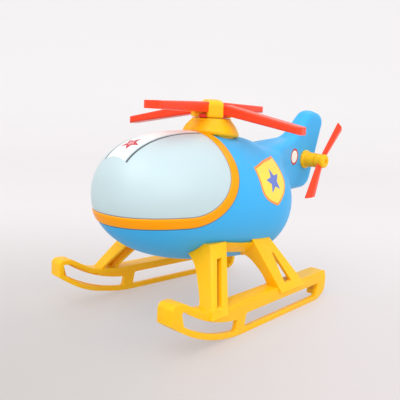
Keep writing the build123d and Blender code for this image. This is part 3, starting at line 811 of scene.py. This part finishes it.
class HELI_OT_fuselage(bpy.types.Operator):
    """Skin of the two body shells with boom, fin and parting groove"""

    bl_idname = "heli.fuselage"
    bl_label = "Body Shells"

    nose_rings: count("Nose rings", 84, "Sections from the nose to the widest ring")
    stern_rings: count("Stern rings", 56, "Sections over the stern")
    fin_rings: count("Fin rings", 78, "Sections from the stern to the end of the fin")
    around: count("Around", 112, "Points round each half section")

    # Shares of a half section at which it is sampled finely beside the parting groove
    groove_shares = np.array([0.0, 0.0006, 0.0014, 0.0026, 0.0045])

    # Spans that hold the whole boom and fin above the body's axis, and the end of the fin along it
    boom_span = (-20 * MM, 70 * MM)
    fin_end_span = (-100 * MM, -125 * MM)

    def stations(self, field):
        """Distances along the body's axis: evenly turned on the egg's superellipse, then along
        the boom, closing up towards the end of the fin as a power of the share that is left."""
        nose, _ = field.meridian(np.linspace(0, math.pi / 2, self.nose_rings))
        stern, _ = field.meridian(np.linspace(math.pi / 2, math.pi, self.stern_rings)[1:])
        t = np.linspace(0, 1, self.fin_rings)[1:]
        samples = np.linspace(*self.boom_span, 400)
        ends = np.linspace(*self.fin_end_span, 501)
        y, z = field.place(ends[:, None], samples[None, :])
        reached = (field.side_distance(y, z) < 0).any(1)
        last = ends[reached][-1]
        fin = stern[-1] + (last - stern[-1]) * (1 - (1 - t) ** 1.6)
        return np.concatenate([nose, stern, fin])

    def spine(self, field, along):
        """Height of the ray origins: on the egg's axis in front, in the middle of the boom's side
        outline behind, with a smooth step between them over the stern."""
        samples = np.linspace(*self.boom_span, 600)
        y, z = field.place(along[:, None], samples[None, :])
        inside = (field.side_distance(y, z) < -0.2 * MM) & (y > 30 * MM)
        found = inside.sum(1)
        middle = np.where(found > 0, (inside * samples).sum(1) / np.maximum(found, 1), np.nan)
        known = ~np.isnan(middle)
        middle = np.interp(-along, -along[known], middle[known])
        return middle * smooth_step(25 * MM, 52 * MM, -along)

    def skin(self, field):
        """Half sections cast from the spine, from the crest round one flank to the keel, with the
        poles closed at the nose and at the end of the fin."""
        along = self.stations(field)
        y, z = field.place(along, self.spine(field, along))
        even = np.linspace(0, 1, self.around)[1:-1]
        share = np.concatenate([self.groove_shares, even, 1 - self.groove_shares[::-1]])
        turn = share * math.pi
        start = np.stack([np.zeros_like(y), y, z], axis=-1)[:, None, :]
        up = np.cos(turn)[:, None] * field.up
        ways = np.column_stack([np.sin(turn), up])[None, :, :]
        start, ways = np.broadcast_arrays(start, ways)
        skin = cast_rays(field.distance, start, ways, 75 * MM)
        skin[0] = skin[0, 0]
        skin[-1] = skin[-1].mean(0) * [0, 1, 1]
        return skin

    def execute(self, context):
        """The skin sinks under the canopy and its rim, and along the middle plane by a groove in
        the shape of a bell curve."""
        field = BodyField()
        shape = body()
        rim = canopy().rim_width
        skin = self.skin(field)
        window = window_distance(skin[..., 1], skin[..., 2])
        sink = shape.sink * (1 - smooth_step(rim * 0.25, rim * 0.75, window))
        groove = shape.seam * np.exp(-((skin[..., 0] / shape.seam_width) ** 2))
        skin = skin - field.normal(skin) * (sink + groove * (window > rim))[..., None]
        skin[:, 0, 0] = 0
        skin[:, -1, 0] = 0
        for name, node, side in (
            ("fuselage_port_skin", "fuselage_port", 1),
            ("fuselage_starboard_skin", "fuselage_starboard", -1),
        ):
            piece = grid_piece(
                name,
                skin * [side, 1, 1],
                blue_plastic(),
                closed_columns=True,
                attributes={"rim_line": window - rim},
            )
            if side < 0:
                self.cut_screw_wells(piece)
            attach(piece, "airframe")
            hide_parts(node)
        return {"FINISHED"}

    def cut_screw_wells(self, piece):
        """Round wells over the body screws, each as deep as its screw head."""
        work = bmesh.new()
        across = Matrix.Rotation(math.pi / 2, 4, "Y")
        for y, z, floor_x in (np.array(BODY_SCREWS) - [LENGTH_CENTRE, 0, 0]) * MM:
            bmesh.ops.create_cone(
                work,
                cap_ends=True,
                segments=48,
                radius1=WELL_RADIUS,
                radius2=WELL_RADIUS,
                depth=WELL_REACH,
                matrix=Matrix.Translation((floor_x - WELL_REACH / 2, y, z)) @ across,
            )
        mesh = bpy.data.meshes.new("well_cutter")
        work.to_mesh(mesh)
        work.free()
        cutter = bpy.data.objects.new("well_cutter", mesh)
        bpy.context.scene.collection.objects.link(cutter)
        cut = piece.modifiers.new("wells", "BOOLEAN")
        cut.operation = "DIFFERENCE"
        cut.solver = "EXACT"
        cut.object = cutter
        cut.use_self = False
        bpy.context.view_layer.update()
        cut_piece = piece.evaluated_get(bpy.context.evaluated_depsgraph_get())
        result = bpy.data.meshes.new_from_object(cut_piece)
        piece.modifiers.clear()
        piece.data = result
        bpy.data.objects.remove(cutter)


class HELI_OT_canopy(bpy.types.Operator):
    """Pale canopy panel that lies flush in its rim"""

    bl_idname = "heli.canopy"
    bl_label = "Canopy"

    rings: count("Rings", 70, "Rings from the middle of the panel to its edge")
    around: count("Around", 260, "Points round each ring")
    tuck: length("Tuck", 1.2, "How far the panel reaches under its rim")
    wall: length("Wall", 0.8, "Thickness of the panel")

    def execute(self, context):
        """Rays leave a point inside the body. Their directions run from the panel's middle to its
        edge along great circles, and each is cut where it meets the egg."""
        field = BodyField()
        edge = rim_curve(field, self.tuck, self.around // 2 + 1)
        loop = np.concatenate([edge, edge[1:-1][::-1] * [-1, 1, 1]])
        outward = loop - CANOPY_ORIGIN
        outward /= np.linalg.norm(outward, axis=1)[:, None]
        middle = CANOPY_MIDDLE / np.linalg.norm(CANOPY_MIDDLE)
        full = np.arccos(np.clip(outward @ middle, -1, 1))[None, :, None]
        t = np.linspace(0, 1, self.rings)[:, None, None]
        ways = (np.sin((1 - t) * full) * middle + np.sin(t * full) * outward[None]) / np.sin(full)
        points = cast_rays(field.distance, CANOPY_ORIGIN, ways, 120 * MM)
        inner = points - field.normal(points) * self.wall
        whole = np.concatenate([points, inner[::-1]])
        line = window_distance(whole[..., 1], whole[..., 2])
        piece = grid_piece(
            "canopy_panel",
            whole,
            pale_paint(),
            closed_columns=True,
            attributes={"rim_line": line},
        )
        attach(piece, "airframe")
        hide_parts("canopy")
        return {"FINISHED"}


def rim_curve(field, grow, points):
    """The canopy's outline, grown in side view, laid on the body from the nose up to the top:
    sill, corner arc and rear edge, taken at even steps of length along the body."""
    shape = canopy()
    radius = shape.corner + grow
    corner_y, corner_z = shape.rear_y - shape.corner, shape.sill_z + shape.corner
    front = np.linspace(0, 1, 900) ** 2
    nose_y = body().ring_y - body().nose * 1.02
    sill_y = nose_y + (corner_y - nose_y) * front
    sill = np.column_stack([sill_y, np.full_like(front, corner_z - radius)])
    t = np.linspace(0, math.pi / 2 + shape.rake, 1200)[1:, None]
    arc = np.hstack([corner_y + radius * np.sin(t), corner_z - radius * np.cos(t)])
    run = np.linspace(0, 20 * MM, 200)[1:, None]
    rear = arc[-1] + run * np.array([-math.sin(shape.rake), math.cos(shape.rake)])
    flat = np.concatenate([sill, arc, rear])
    along, above = field.axial(flat[:, 0], flat[:, 1])
    reach, power = field.end(along)
    level = 1 - (np.abs(along) / reach) ** power
    ring = np.where(level > 0, np.abs(level) ** (1 / power), 0) * field.radius
    left = ring**2 - above**2
    inside = left > 0
    first, last = np.argmax(inside), len(inside) - 1 - np.argmax(inside[::-1])

    def crossing(a, b):
        """Where the outline meets the middle plane, from the signs on either side."""
        share = left[a] / (left[a] - left[b])
        y, z = flat[a] + (flat[b] - flat[a]) * share
        return np.array([[0.0, y, z]])

    kept = np.arange(first, last + 1)
    line = np.column_stack([np.sqrt(left[kept]), flat[kept]])
    line = np.concatenate([crossing(first, first - 1), line, crossing(last, last + 1)])
    steps = np.linalg.norm(np.diff(line, axis=0), axis=1)
    run = np.concatenate([[0], np.cumsum(steps)])
    even = np.linspace(0, run[-1], points)
    return np.column_stack([np.interp(even, run, line[:, k]) for k in range(3)])


class HELI_OT_canopy_trim(bpy.types.Operator):
    """Raised rim round the canopy: a rounded bar laid on the body"""

    bl_idname = "heli.canopy_trim"
    bl_label = "Canopy Rim"

    along: count("Along", 200, "Points along each half of the rim")
    across: count("Across", 27, "Points across the rim")
    bury: length("Bury", 0.5, "How far the rim's edges lie under the body's surface")
    back: length("Back", 1.8, "How far the rim's back lies under the body's surface")

    def execute(self, context):
        """Across the rim the outline grows from its inner to its outer edge, and the surface is
        lifted off the body by a superellipse of the place across."""
        field = BodyField()
        shape = canopy()
        place = (1 - np.cos(np.linspace(0, math.pi, self.across))) / 2
        rows = [rim_curve(field, grow, self.along) for grow in place * shape.rim_width]
        rows = np.stack(rows)
        rows = np.concatenate([rows, rows[:, 1:-1][:, ::-1] * [-1, 1, 1]], axis=1)
        side = np.abs(2 * place - 1)
        lift = (1 - side**7) ** (1 / 2.4) * (shape.rim_raise + self.bury) - self.bury
        outward = field.normal(rows)
        top = rows + outward * lift[:, None, None]
        back = rows[::-1] - outward[::-1] * self.back
        piece = grid_piece(
            "canopy_rim",
            np.concatenate([top, back]),
            orange_paint(),
            closed_rows=True,
            closed_columns=True,
        )
        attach(piece, "airframe")
        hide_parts("canopy_trim")
        return {"FINISHED"}


def wrapped_on_top(field, x, s, lift):
    """A flat design laid on the top of the nose: s runs along the egg's middle outline from the
    widest ring, and x is wrapped round the axis as an angle of x over the ring's radius."""
    turn = np.linspace(math.pi / 2, 0.02, 800)
    along, ring = field.meridian(turn)
    run = np.concatenate([[0], np.cumsum(np.hypot(np.diff(along), np.diff(ring)))])
    a = np.interp(s, run, along)
    r = np.interp(s, run, ring)
    phi = x / r
    y, z = field.place(a, r * np.cos(phi))
    points = np.stack([r * np.sin(phi), y, z], axis=-1)
    return points + field.normal(points) * lift


def laid_on_side(field, y, z, side, lift):
    """A flat design in side view, laid on one flank of the body along X."""
    points = np.stack([field.side_x(y, z), y, z], axis=-1)
    return (points + field.normal(points) * lift) * [side, 1, 1]


def star_outline(tips, outer, inner, points=200, turn=0.0):
    """Star with straight edges: in each point's sector, the radius of the line from tip to dip."""
    t = np.linspace(0, 2 * math.pi, points, endpoint=False)
    sector = math.pi / tips
    local = np.abs((t + sector) % (2 * sector) - sector)
    tip = np.array([outer, 0.0])
    edge = inner * np.array([math.cos(sector), math.sin(sector)]) - tip
    radius = tip[0] * edge[1] / (np.cos(local) * edge[1] - np.sin(local) * edge[0])
    return np.column_stack([radius * np.cos(t + turn), radius * np.sin(t + turn)])


def shield_outline(width, height, points=240):
    """Shield: a gently peaked top, straight upper sides and lower sides that curve to a point."""
    t = np.linspace(0, 1, points // 4, endpoint=False)
    half = width / 2
    top, waist, tip = height * 0.42, height * 0.40, height * 0.58
    crown = np.column_stack([-half + width * t, top + 0.03 * height * np.sin(math.pi * t) ** 2])
    right = np.column_stack([np.full_like(t, half), top - waist * t])
    lower = np.column_stack([half * (1 - t**2.4), top - waist - tip * t])
    left = [lower[::-1] * [-1, 1], right[::-1] * [-1, 1]]
    return np.concatenate([crown, right, lower, *left])


def filled(outline, rings=9):
    """Grid from an outline's middle to its edge."""
    t = np.linspace(0, 1, rings)[:, None, None]
    return outline[None] * t


def border(outer, inner, rings=4):
    """Grid between two outlines of equal count."""
    t = np.linspace(0, 1, rings)[:, None, None]
    return inner[None] * (1 - t) + outer[None] * t


class HELI_OT_prints(bpy.types.Operator):
    """Printed decoration: a nose stripe with a star, shields on the flanks, rings on the boom"""

    bl_idname = "heli.prints"
    bl_label = "Prints"

    def add(self, name, points, material, slot, closed=True):
        piece = grid_piece(name, points, material, closed_columns=closed, merge=1e-3 * MM)
        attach(piece, "airframe")

    def print_nose(self, field, inks):
        layout = bpy.context.scene.heli_prints
        stripe, inner, outer = layout.stripe_half, layout.pinstripe_inner, layout.pinstripe_outer
        run = np.linspace(layout.stripe_start, layout.stripe_end, 70)
        for name, left, right, tone in (
            ("nose_stripe", -stripe, stripe, "white"),
            ("nose_pinstripe_port", inner, outer, "grey"),
            ("nose_pinstripe_starboard", -outer, -inner, "grey"),
        ):
            x, s = np.meshgrid(np.linspace(left, right, 13), run)
            points = wrapped_on_top(field, x, s, INK_LIFT[0])
            self.add(name, points, inks[tone], "canopy_pale", closed=False)
        star = star_outline(5, *NOSE_STAR)
        for name, size, tone, lift in (
            ("nose_star", 1.0, "crimson", INK_LIFT[1]),
            ("nose_star_heart", layout.heart, "pink", INK_LIFT[2]),
        ):
            flat = filled(star * size) + [0, layout.star_place]
            points = wrapped_on_top(field, flat[..., 0], flat[..., 1], lift)
            self.add(name, points, inks[tone], "canopy_pale")

    def print_flank(self, field, inks, side, tag):
        layout = bpy.context.scene.heli_prints
        c, s = math.cos(layout.shield_lean), math.sin(layout.shield_lean)
        lean = np.array([[c, s], [-s, c]])
        middle = [layout.shield_y, layout.shield_z]
        outer = shield_outline(layout.shield_width, layout.shield_height)
        inner = outer * layout.shield_field
        star = star_outline(5, *SHIELD_STAR, turn=math.pi / 2)
        t = np.linspace(0, 2 * math.pi, 96, endpoint=False)
        circle = np.column_stack([np.cos(t), np.sin(t)])
        ring, disc = circle * layout.ring_radius, circle * layout.disc_radius
        ring_middle = [layout.ring_y, layout.ring_z]
        for name, flat, tone, lift in (
            ("shield_edge_", border(outer, inner) @ lean + middle, "orange", INK_LIFT[0]),
            ("shield_field_", filled(inner, 16) @ lean + middle, "yellow", INK_LIFT[0]),
            ("shield_star_", filled(star) @ lean + middle, "blue", INK_LIFT[1]),
            ("boom_ring_", border(ring, disc) + ring_middle, "crimson", INK_LIFT[0]),
            ("boom_disc_", filled(disc) + ring_middle, "white", INK_LIFT[0]),
        ):
            points = laid_on_side(field, flat[..., 0], flat[..., 1], side, lift)
            self.add(name + tag, points, inks[tone], "body_blue")

    def execute(self, context):
        field = BodyField()
        tones = ("white", "grey", "crimson", "pink", "yellow", "orange", "blue")
        inks = {tone: ink(tone + "_ink", getattr(paint(), "ink_" + tone)) for tone in tones}
        self.print_nose(field, inks)
        self.print_flank(field, inks, 1, "port")
        self.print_flank(field, inks, -1, "starboard")
        return {"FINISHED"}


class HELI_OT_hub_cap(bpy.types.Operator):
    """Moulded hub cap: a crowned strap over a low round boss with two short lugs"""

    bl_idname = "heli.hub_cap"
    bl_label = "Hub Cap"

    top: length("Top", 127.6, "Height of the strap's crown")
    foot: length("Foot", 116.3, "Height of the cap's underside")
    reach: length("Reach", 11.6, "From the axis to the ends of the strap and the lugs")
    strap: length("Strap width", 10.0, "Width of the strap")
    strap_turn: angle("Strap turn", -33.8, "Direction of the strap, measured from X")
    lug_top: length("Lug top", 121.2, "Height of the short lugs")
    boss_top: length("Boss top", 125.6, "Height of the round boss")
    boss: length("Boss radius", 6.6, "Radius of the round boss")
    crown: length("Crown radius", 27.0, "Radius of the strap's domed top")
    strap_rounding: length("Strap rounding", 1.4, "Rounding of the strap's edges")
    lug_rounding: length("Lug rounding", 1.0, "Rounding of the lugs' edges")
    boss_rounding: length("Boss rounding", 1.2, "Rounding of the boss's upper edge")
    boss_fillet: length("Boss fillet", 1.2, "Fillet between boss and lugs")
    strap_fillet: length("Strap fillet", 0.8, "Fillet between the strap and the rest")
    crown_rounding: length("Crown rounding", 1.8, "Rounding of the edge of the domed top")

    def block(self, points, half_x, half_y, top, rounding):
        """Distance to a box with rounded edges that stands on the cap's foot."""
        middle = np.array([0, 0, (top + self.foot) / 2])
        half = np.array([half_x, half_y, (top - self.foot) / 2])
        return rounded_solid(np.abs(points - middle) - half, rounding)

    def distance(self, points):
        """Strap, lugs and boss joined softly, cut by the ball that crowns the top."""
        c, s = math.cos(self.strap_turn), math.sin(self.strap_turn)
        turned = points @ np.array([[c, -s, 0], [s, c, 0], [0, 0, 1]])
        half = self.strap / 2
        strap = self.block(turned, self.reach, half, self.top, self.strap_rounding)
        lugs = self.block(turned, half, self.reach, self.lug_top, self.lug_rounding)
        past_side = np.hypot(points[..., 0], points[..., 1]) - self.boss
        past_end = np.abs(points[..., 2] - (self.boss_top + self.foot) / 2)
        past_end -= (self.boss_top - self.foot) / 2
        boss = rounded_solid(np.stack([past_side, past_end], axis=-1), self.boss_rounding)
        whole = soft_join(soft_join(lugs, boss, self.boss_fillet), strap, self.strap_fillet)
        ball = np.linalg.norm(points - [0, 0, self.top - self.crown], axis=-1) - self.crown
        return -soft_join(-whole, -ball, self.crown_rounding)

    def execute(self, context):
        """Rays leave a point on the axis in every direction and stop where they leave the form."""
        polar = np.linspace(0, math.pi, 150)[:, None]
        around = np.linspace(0, 2 * math.pi, 280, endpoint=False)[None, :]
        ring = np.sin(polar)
        ways = [ring * np.cos(around), ring * np.sin(around), np.cos(polar) + 0 * around]
        start = np.array([0, 0, 119.5 * MM])
        points = cast_rays(self.distance, start, np.stack(ways, axis=-1), 16 * MM)
        points += [0, MAST_Y, 0]
        points[0] = points[0, 0]
        points[-1] = points[-1, 0]
        piece = grid_piece(
            "hub_cap_moulding", points, yellow_plastic(), closed_columns=True, flat_angle=60
        )
        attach(piece, "main_rotor")
        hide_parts("hub_cap")
        return {"FINISHED"}


class HELI_OT_rotor_dome(bpy.types.Operator):
    """Conical fairing under the rotor with a complete overhanging rim"""

    bl_idname = "heli.rotor_dome"
    bl_label = "Rotor Fairing"

    top: length("Top", 116.0, "Height of the flat top")
    top_radius: length("Top radius", 12.0, "Radius at the upper edge")
    edge: length("Edge", 1.1, "Rounding of the upper edge")
    bow: length("Bow", 0.7, "How far the cone bows outwards half way down")
    rim: length("Rim radius", 17.1, "Radius of the widest ring")
    rim_z: length("Rim Z", 107.4, "Height of the widest ring at the axis")
    roll: length("Roll", 1.9, "Rounding under the widest ring")
    collar: length("Collar radius", 14.6, "Radius of the foot under the rounding")
    foot: length("Foot", 98.0, "Height of the foot's underside, inside the body")
    shift: length("Shift", 0.4, "How far the fairing's middle lies behind the mast")
    fall: number("Fall", -0.09, "Slope of the widest ring towards the stern")

    def profile(self):
        """Radius and height of a turned profile: flat top, rounded edge, bowed cone, rounding
        under the widest ring and recessed collar."""
        t = np.linspace(0, 1, 40)
        turn = np.linspace(0, math.pi / 2, 14)
        flat_radius, cone_top = self.top_radius - self.edge, self.top - self.edge
        flat = np.column_stack([np.linspace(0, flat_radius, 12), np.full(12, self.top)])
        soft = np.array([flat_radius, cone_top]) + self.edge * np.column_stack(
            [np.sin(turn), np.cos(turn)]
        )
        cone_radius = self.top_radius + (self.rim - self.top_radius) * t
        cone_radius += self.bow * np.sin(math.pi * t)
        cone = np.column_stack([cone_radius, cone_top + (self.rim_z - cone_top) * t])
        under_radius = self.rim - self.roll * (1 - np.cos(turn))
        under = np.column_stack([under_radius, self.rim_z - self.roll * np.sin(turn)])
        low = self.rim_z - self.roll
        foot = np.array([
            (self.collar + 0.1 * MM, low),
            (self.collar, low + 0.1 * MM),
            (self.collar, low - 0.6 * MM),
            (self.collar, self.foot + 0.5 * MM),
            (self.collar - 0.4 * MM, self.foot),
            (0.0, self.foot),
        ])
        return np.concatenate([flat, soft[1:], cone[1:], under[1:], foot])

    def execute(self, context):
        """The profile is turned, and its heights slope along the toy in proportion to their depth
        under the top."""
        radius, height = np.hsplit(self.profile(), 2)
        around = np.linspace(0, 2 * math.pi, 240, endpoint=False)
        x, y = radius * np.sin(around), radius * np.cos(around)
        depth = np.clip((self.top - height) / (self.top - self.rim_z), 0, 1)
        points = np.stack([x, y + MAST_Y + self.shift, height + self.fall * y * depth], axis=-1)
        piece = grid_piece(
            "rotor_fairing", points, yellow_plastic(), closed_columns=True, flat_angle=60
        )
        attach(piece, "airframe")
        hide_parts("rotor_dome")
        return {"FINISHED"}


class HELI_OT_tail_blades(bpy.types.Operator):
    """Two ridged tail rotor blades with slanted, softly rounded tips"""

    bl_idname = "heli.tail_blades"
    bl_label = "Tail Blades"

    middle: bpy.props.FloatVectorProperty(
        name="Middle",
        default=(21.0 * MM, (121.0 - LENGTH_CENTRE) * MM, 88.6 * MM),
        description="Where the blades cross the tail shaft",
        subtype="TRANSLATION",
        size=3,
    )
    reach: length("Reach", 29.3, "From the shaft to the middle of each tip")
    root: length("Root", 6.0, "Chord at the root")
    tip: length("Tip", 9.8, "Chord at the full reach")
    cone: length("Cone", 3.3, "How far the tips lean away from the fin")
    turn: angle("Turn", 33.0, "Lean of the upper blade towards the stern")
    pitch: angle("Pitch", 7.0, "Pitch of the blades")
    slant_upper: number("Upper slant", 0.02, "Slope of the upper tip along the chord")
    slant_lower: number("Lower slant", 0.62, "Slope of the lower tip along the chord")
    rounding: length("Rounding", 0.35, "Rounding round the tips")
    start: length("Start", 2.0, "Where the blades begin, inside the cap")
    taper_start: length("Taper start", 4.8, "Where the chord begins to grow")
    taper_length: length("Taper length", 27.2, "Length over which the chord grows")

    # Flat back and ridged front of a blade, as chord and thickness, and the corners' roundings
    section_corners = np.array([(-4, -0.7), (4, -0.7), (4, 0.2), (0, 1.3), (-4, 0.2)]) * MM
    section_radii = np.array([0.25, 0.25, 0.3, 1.5, 0.3]) * MM

    def blade(self, side):
        """One blade: its section is drawn in chord and thickness, widens and leans out along the
        reach, and shrinks over a quarter circle at the tip. Both ends close to a point."""
        section = rounded_outline(self.section_corners, self.section_radii, 5)
        rows = 40
        a = np.linspace(0, math.pi / 2, 6)[1:]
        run = np.concatenate([np.linspace(0, 1, rows), np.ones_like(a)])
        back = self.rounding * np.concatenate([np.ones(rows), 1 - np.sin(a)])
        shrink = np.concatenate([np.zeros(rows), 1 - np.cos(a)])
        run, back, shrink = (np.pad(v, 1, mode="edge")[:, None] for v in (run, back, shrink))
        kept = np.ones_like(run)
        kept[[0, -1]] = 0
        share = section[:, 0] / section[:, 0].max() * kept
        slant = self.slant_upper if side > 0 else self.slant_lower
        tip_place = self.reach + side * slant * share * self.tip / 2 - back
        along = self.start + (tip_place - self.start) * run
        part = np.clip((along - self.taper_start) / self.taper_length, 0, 1)
        width = self.root + (self.tip - self.root) * part
        chord = share * width / 2 * (1 - 0.08 * shrink)
        thick = section[:, 1] * kept * (1 - 0.4 * shrink)
        c, s = math.cos(self.pitch), math.sin(self.pitch)
        out = chord * s + thick * c + self.cone * part
        across = chord * c - thick * s
        up = np.array([0, math.sin(self.turn), math.cos(self.turn)]) * side
        ahead = np.array([0, -math.cos(self.turn), math.sin(self.turn)]) * side
        outward = np.array([1, 0, 0])
        away = along[..., None] * up + across[..., None] * ahead + out[..., None] * outward
        return np.array(self.middle) + away

    def execute(self, context):
        upper, lower = self.blade(1), self.blade(-1)
        rows, columns = upper.shape[:2]
        faces = grid_faces(rows, columns, False, True)
        piece = make_piece(
            "tail_blade_pair",
            np.concatenate([upper, lower]),
            np.concatenate([faces, faces + rows * columns]),
            red_plastic(),
            flat_angle=50,
        )
        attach(piece, "tail_rotor")
        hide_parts("tail_blades")
        return {"FINISHED"}


class HELI_OT_rotor_parts(bpy.types.Operator):
    """Finishes of the blades, the tail rotor and the hardware"""

    bl_idname = "heli.rotor_parts"
    bl_label = "Rotor Finishes"

    def execute(self, context):
        shafts = ("mast_shaft", "tail_shaft")
        fasteners = ("mast_screw", "tail_push_nut", "dome_screws", "fuselage_screws", "skid_screws")
        natural = plastic("natural_plastic", NATURAL_PLASTIC, roughness=0.5)
        dress(("tail_boss", "tail_collar", "tail_hub_cap"), yellow_plastic())
        dress(("blade_bar_upper", "blade_bar_lower"), red_plastic())
        dress(("mast_bush", "mast_washer", "tail_bush"), natural)
        dress(shafts + fasteners, plated_steel())
        return {"FINISHED"}


class HELI_OT_skids(bpy.types.Operator):
    """Skid frames with softly rounded moulded edges"""

    bl_idname = "heli.skids"
    bl_label = "Skid Frames"

    edge: length("Edge", 0.45, "Rounding of the moulded edges")
    sharp: angle("Sharp", 35.0, "Bend from which an edge is rounded")

    def execute(self, context):
        for node in ("port_skid_frame", "starboard_skid_frame"):
            work = bmesh.new()
            work.from_mesh(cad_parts[node].data)
            bmesh.ops.remove_doubles(work, verts=work.verts, dist=2e-3 * MM)
            flat = math.radians(1.0)
            bmesh.ops.dissolve_limit(work, angle_limit=flat, verts=work.verts, edges=work.edges)
            mesh = bpy.data.meshes.new(node + "_moulding")
            work.to_mesh(mesh)
            work.free()
            mesh.shade_smooth()
            mesh.materials.clear()
            mesh.materials.append(yellow_plastic())
            piece = bpy.data.objects.new(node + "_moulding", mesh)
            context.scene.collection.objects.link(piece)
            bevel = piece.modifiers.new("edges", "BEVEL")
            bevel.width = self.edge
            bevel.segments = 3
            bevel.limit_method = "ANGLE"
            bevel.angle_limit = self.sharp
            bevel.use_clamp_overlap = True
            bevel.harden_normals = True
            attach(piece, "airframe")
            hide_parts(node)
        return {"FINISHED"}


class HELI_OT_stage(bpy.types.Operator):
    """Pale sweep, soft lights and camera"""

    bl_idname = "heli.stage"
    bl_label = "Studio"

    def execute(self, context):
        setup = context.scene.heli_studio
        self.add_sweep()
        self.add_lights(setup)
        self.add_camera(context, setup)
        return {"FINISHED"}

    def add_sweep(self):
        """Floor that runs back and climbs in a quarter circle into a wall, in the camera's way."""
        radius, near, far, half_width, wall_top = 0.9, -2.5, 1.1, 4.0, 3.0
        t = np.linspace(0, math.pi / 2, 24)[1:]
        level = np.linspace(near, far, 73)
        run = np.concatenate([level, far + radius * np.sin(t), [far + radius]])
        rise = np.concatenate([0 * level, radius - radius * np.cos(t), [wall_top]])
        across = np.linspace(-half_width, half_width, 161)
        azimuth = bpy.context.scene.heli_studio.azimuth
        back = np.array([-math.sin(azimuth), math.cos(azimuth)])
        right = np.array([math.cos(azimuth), math.sin(azimuth)])
        plan = run[:, None, None] * back + across[None, :, None] * right
        size = plan.shape[:2]
        rise_grid = np.broadcast_to(rise[:, None, None], size + (1,))
        points = np.concatenate([plan, rise_grid], axis=-1)
        marks = {
            "depth": np.broadcast_to((run + rise)[::-1, None], size),
            "aside": np.broadcast_to(across, size),
        }
        sweep = grid_piece(
            "studio_sweep", points[::-1], self.paper(), merge=0, attributes=marks
        )

    def paper(self):
        """Paper with painted light and shade: its tone climbs with the depth behind the toy and
        from left to right before it.
        Half the light it sends back is its own glow, painted light that keeps the toy's shadow
        faint."""
        material, n = new_material("studio_paper")
        depth, aside = n.attribute("depth"), n.attribute("aside")
        # Painted light and shade: darker near the camera and on the left, lighter under and behind
        # the toy
        near = n.blend(n.ramp(aside, -0.12, 0.08), PAPER_LIGHT_LEFT, PAPER_LIGHT_RIGHT)
        level = n.blend(n.ramp(depth, -0.20, 0.28), near, PAPER_LIGHT_MIDDLE)
        base = n.blend(n.ramp(depth, 0.6, 1.8), level, PAPER_LIGHT_BACK)
        fibre = n.times(n.noise(n.place(), 3.0, 3.0), 0.06)
        tone = n.blend(fibre, base, PAPER_FIBRE)
        n.surface({
            "Base Color": n.blend(1.0, tone, (0.5, 0.5, 0.5, 1), "MULTIPLY"),
            "Roughness": 0.6,
            "Specular IOR Level": 0.3,
            # Painted light: the paper glows with its own tone, though it is no lamp, to lift the
            # shadows on it
            "Emission Color": tone,
            "Emission Strength": 0.62,
        })
        return material

    def add_lights(self, setup):
        world = bpy.data.worlds.new("studio_surround")
        world.use_nodes = True
        background = world.node_tree.nodes["Background"]
        background.inputs["Color"].default_value = SURROUND
        background.inputs["Strength"].default_value = setup.sky
        bpy.context.scene.world = world
        bpy.context.scene.view_settings.view_transform = "Standard"
        aim = Vector((0, 0, 0.06))
        for name, power, place in (
            ("key_softbox", setup.key, Vector((0.15, -0.75, 0.95))),
            ("fill_softbox", setup.fill, Vector((0.95, -0.15, 0.55))),
        ):
            lamp = bpy.data.lights.new(name, "AREA")
            lamp.energy = power
            lamp.size = setup.softbox
            light = bpy.data.objects.new(name, lamp)
            bpy.context.scene.collection.objects.link(light)
            light.location = place
            light.rotation_euler = (aim - place).to_track_quat("-Z", "Y").to_euler()

    def add_camera(self, context, setup):
        a, e, roll = setup.azimuth, setup.elevation, setup.roll
        back = np.array([math.sin(a) * math.cos(e), -math.cos(a) * math.cos(e), math.sin(e)])
        right = np.array([math.cos(a), math.sin(a), 0.0])
        up = np.cross(back, right)
        right_rolled = math.cos(roll) * right + math.sin(roll) * up
        up_rolled = -math.sin(roll) * right + math.cos(roll) * up
        turn = Matrix(np.column_stack([right_rolled, up_rolled, back]).tolist()).to_4x4()
        lens = bpy.data.cameras.new("studio_camera")
        lens.lens = setup.lens
        lens.sensor_width = 36.0
        lens.clip_start = 0.01
        lens.clip_end = 20.0
        camera = bpy.data.objects.new("studio_camera", lens)
        context.scene.collection.objects.link(camera)
        camera.matrix_world = Matrix.Translation(setup.place) @ turn
        context.scene.camera = camera


class HELI_PT_panel(bpy.types.Panel):
    """Lists the pieces of the toy helicopter"""

    bl_idname = "HELI_PT_panel"
    bl_label = "Toy Helicopter"
    bl_space_type = "VIEW_3D"
    bl_region_type = "UI"
    bl_category = "Toy Helicopter"

    def draw(self, context):
        for operator in OPERATORS:
            self.layout.operator(operator.bl_idname)


OPERATORS = (
    HELI_OT_stage,
    HELI_OT_fuselage,
    HELI_OT_canopy,
    HELI_OT_canopy_trim,
    HELI_OT_prints,
    HELI_OT_hub_cap,
    HELI_OT_rotor_dome,
    HELI_OT_tail_blades,
    HELI_OT_rotor_parts,
    HELI_OT_skids,
)


def register():
    for group in PROPERTY_GROUPS.values():
        bpy.utils.register_class(group)
    for key, group in PROPERTY_GROUPS.items():
        setattr(bpy.types.Scene, key, bpy.props.PointerProperty(type=group))
    for operator in OPERATORS:
        bpy.utils.register_class(operator)
    bpy.utils.register_class(HELI_PT_panel)


def unregister():
    bpy.utils.unregister_class(HELI_PT_panel)
    for operator in reversed(OPERATORS):
        bpy.utils.unregister_class(operator)
    for key in PROPERTY_GROUPS:
        delattr(bpy.types.Scene, key)
    for group in reversed(PROPERTY_GROUPS.values()):
        bpy.utils.unregister_class(group)


def main():
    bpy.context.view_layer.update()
    register()
    for operator in OPERATORS:
        group, name = operator.bl_idname.split(".")
        getattr(getattr(bpy.ops, group), name)()


if __name__ == "__main__":
    main()
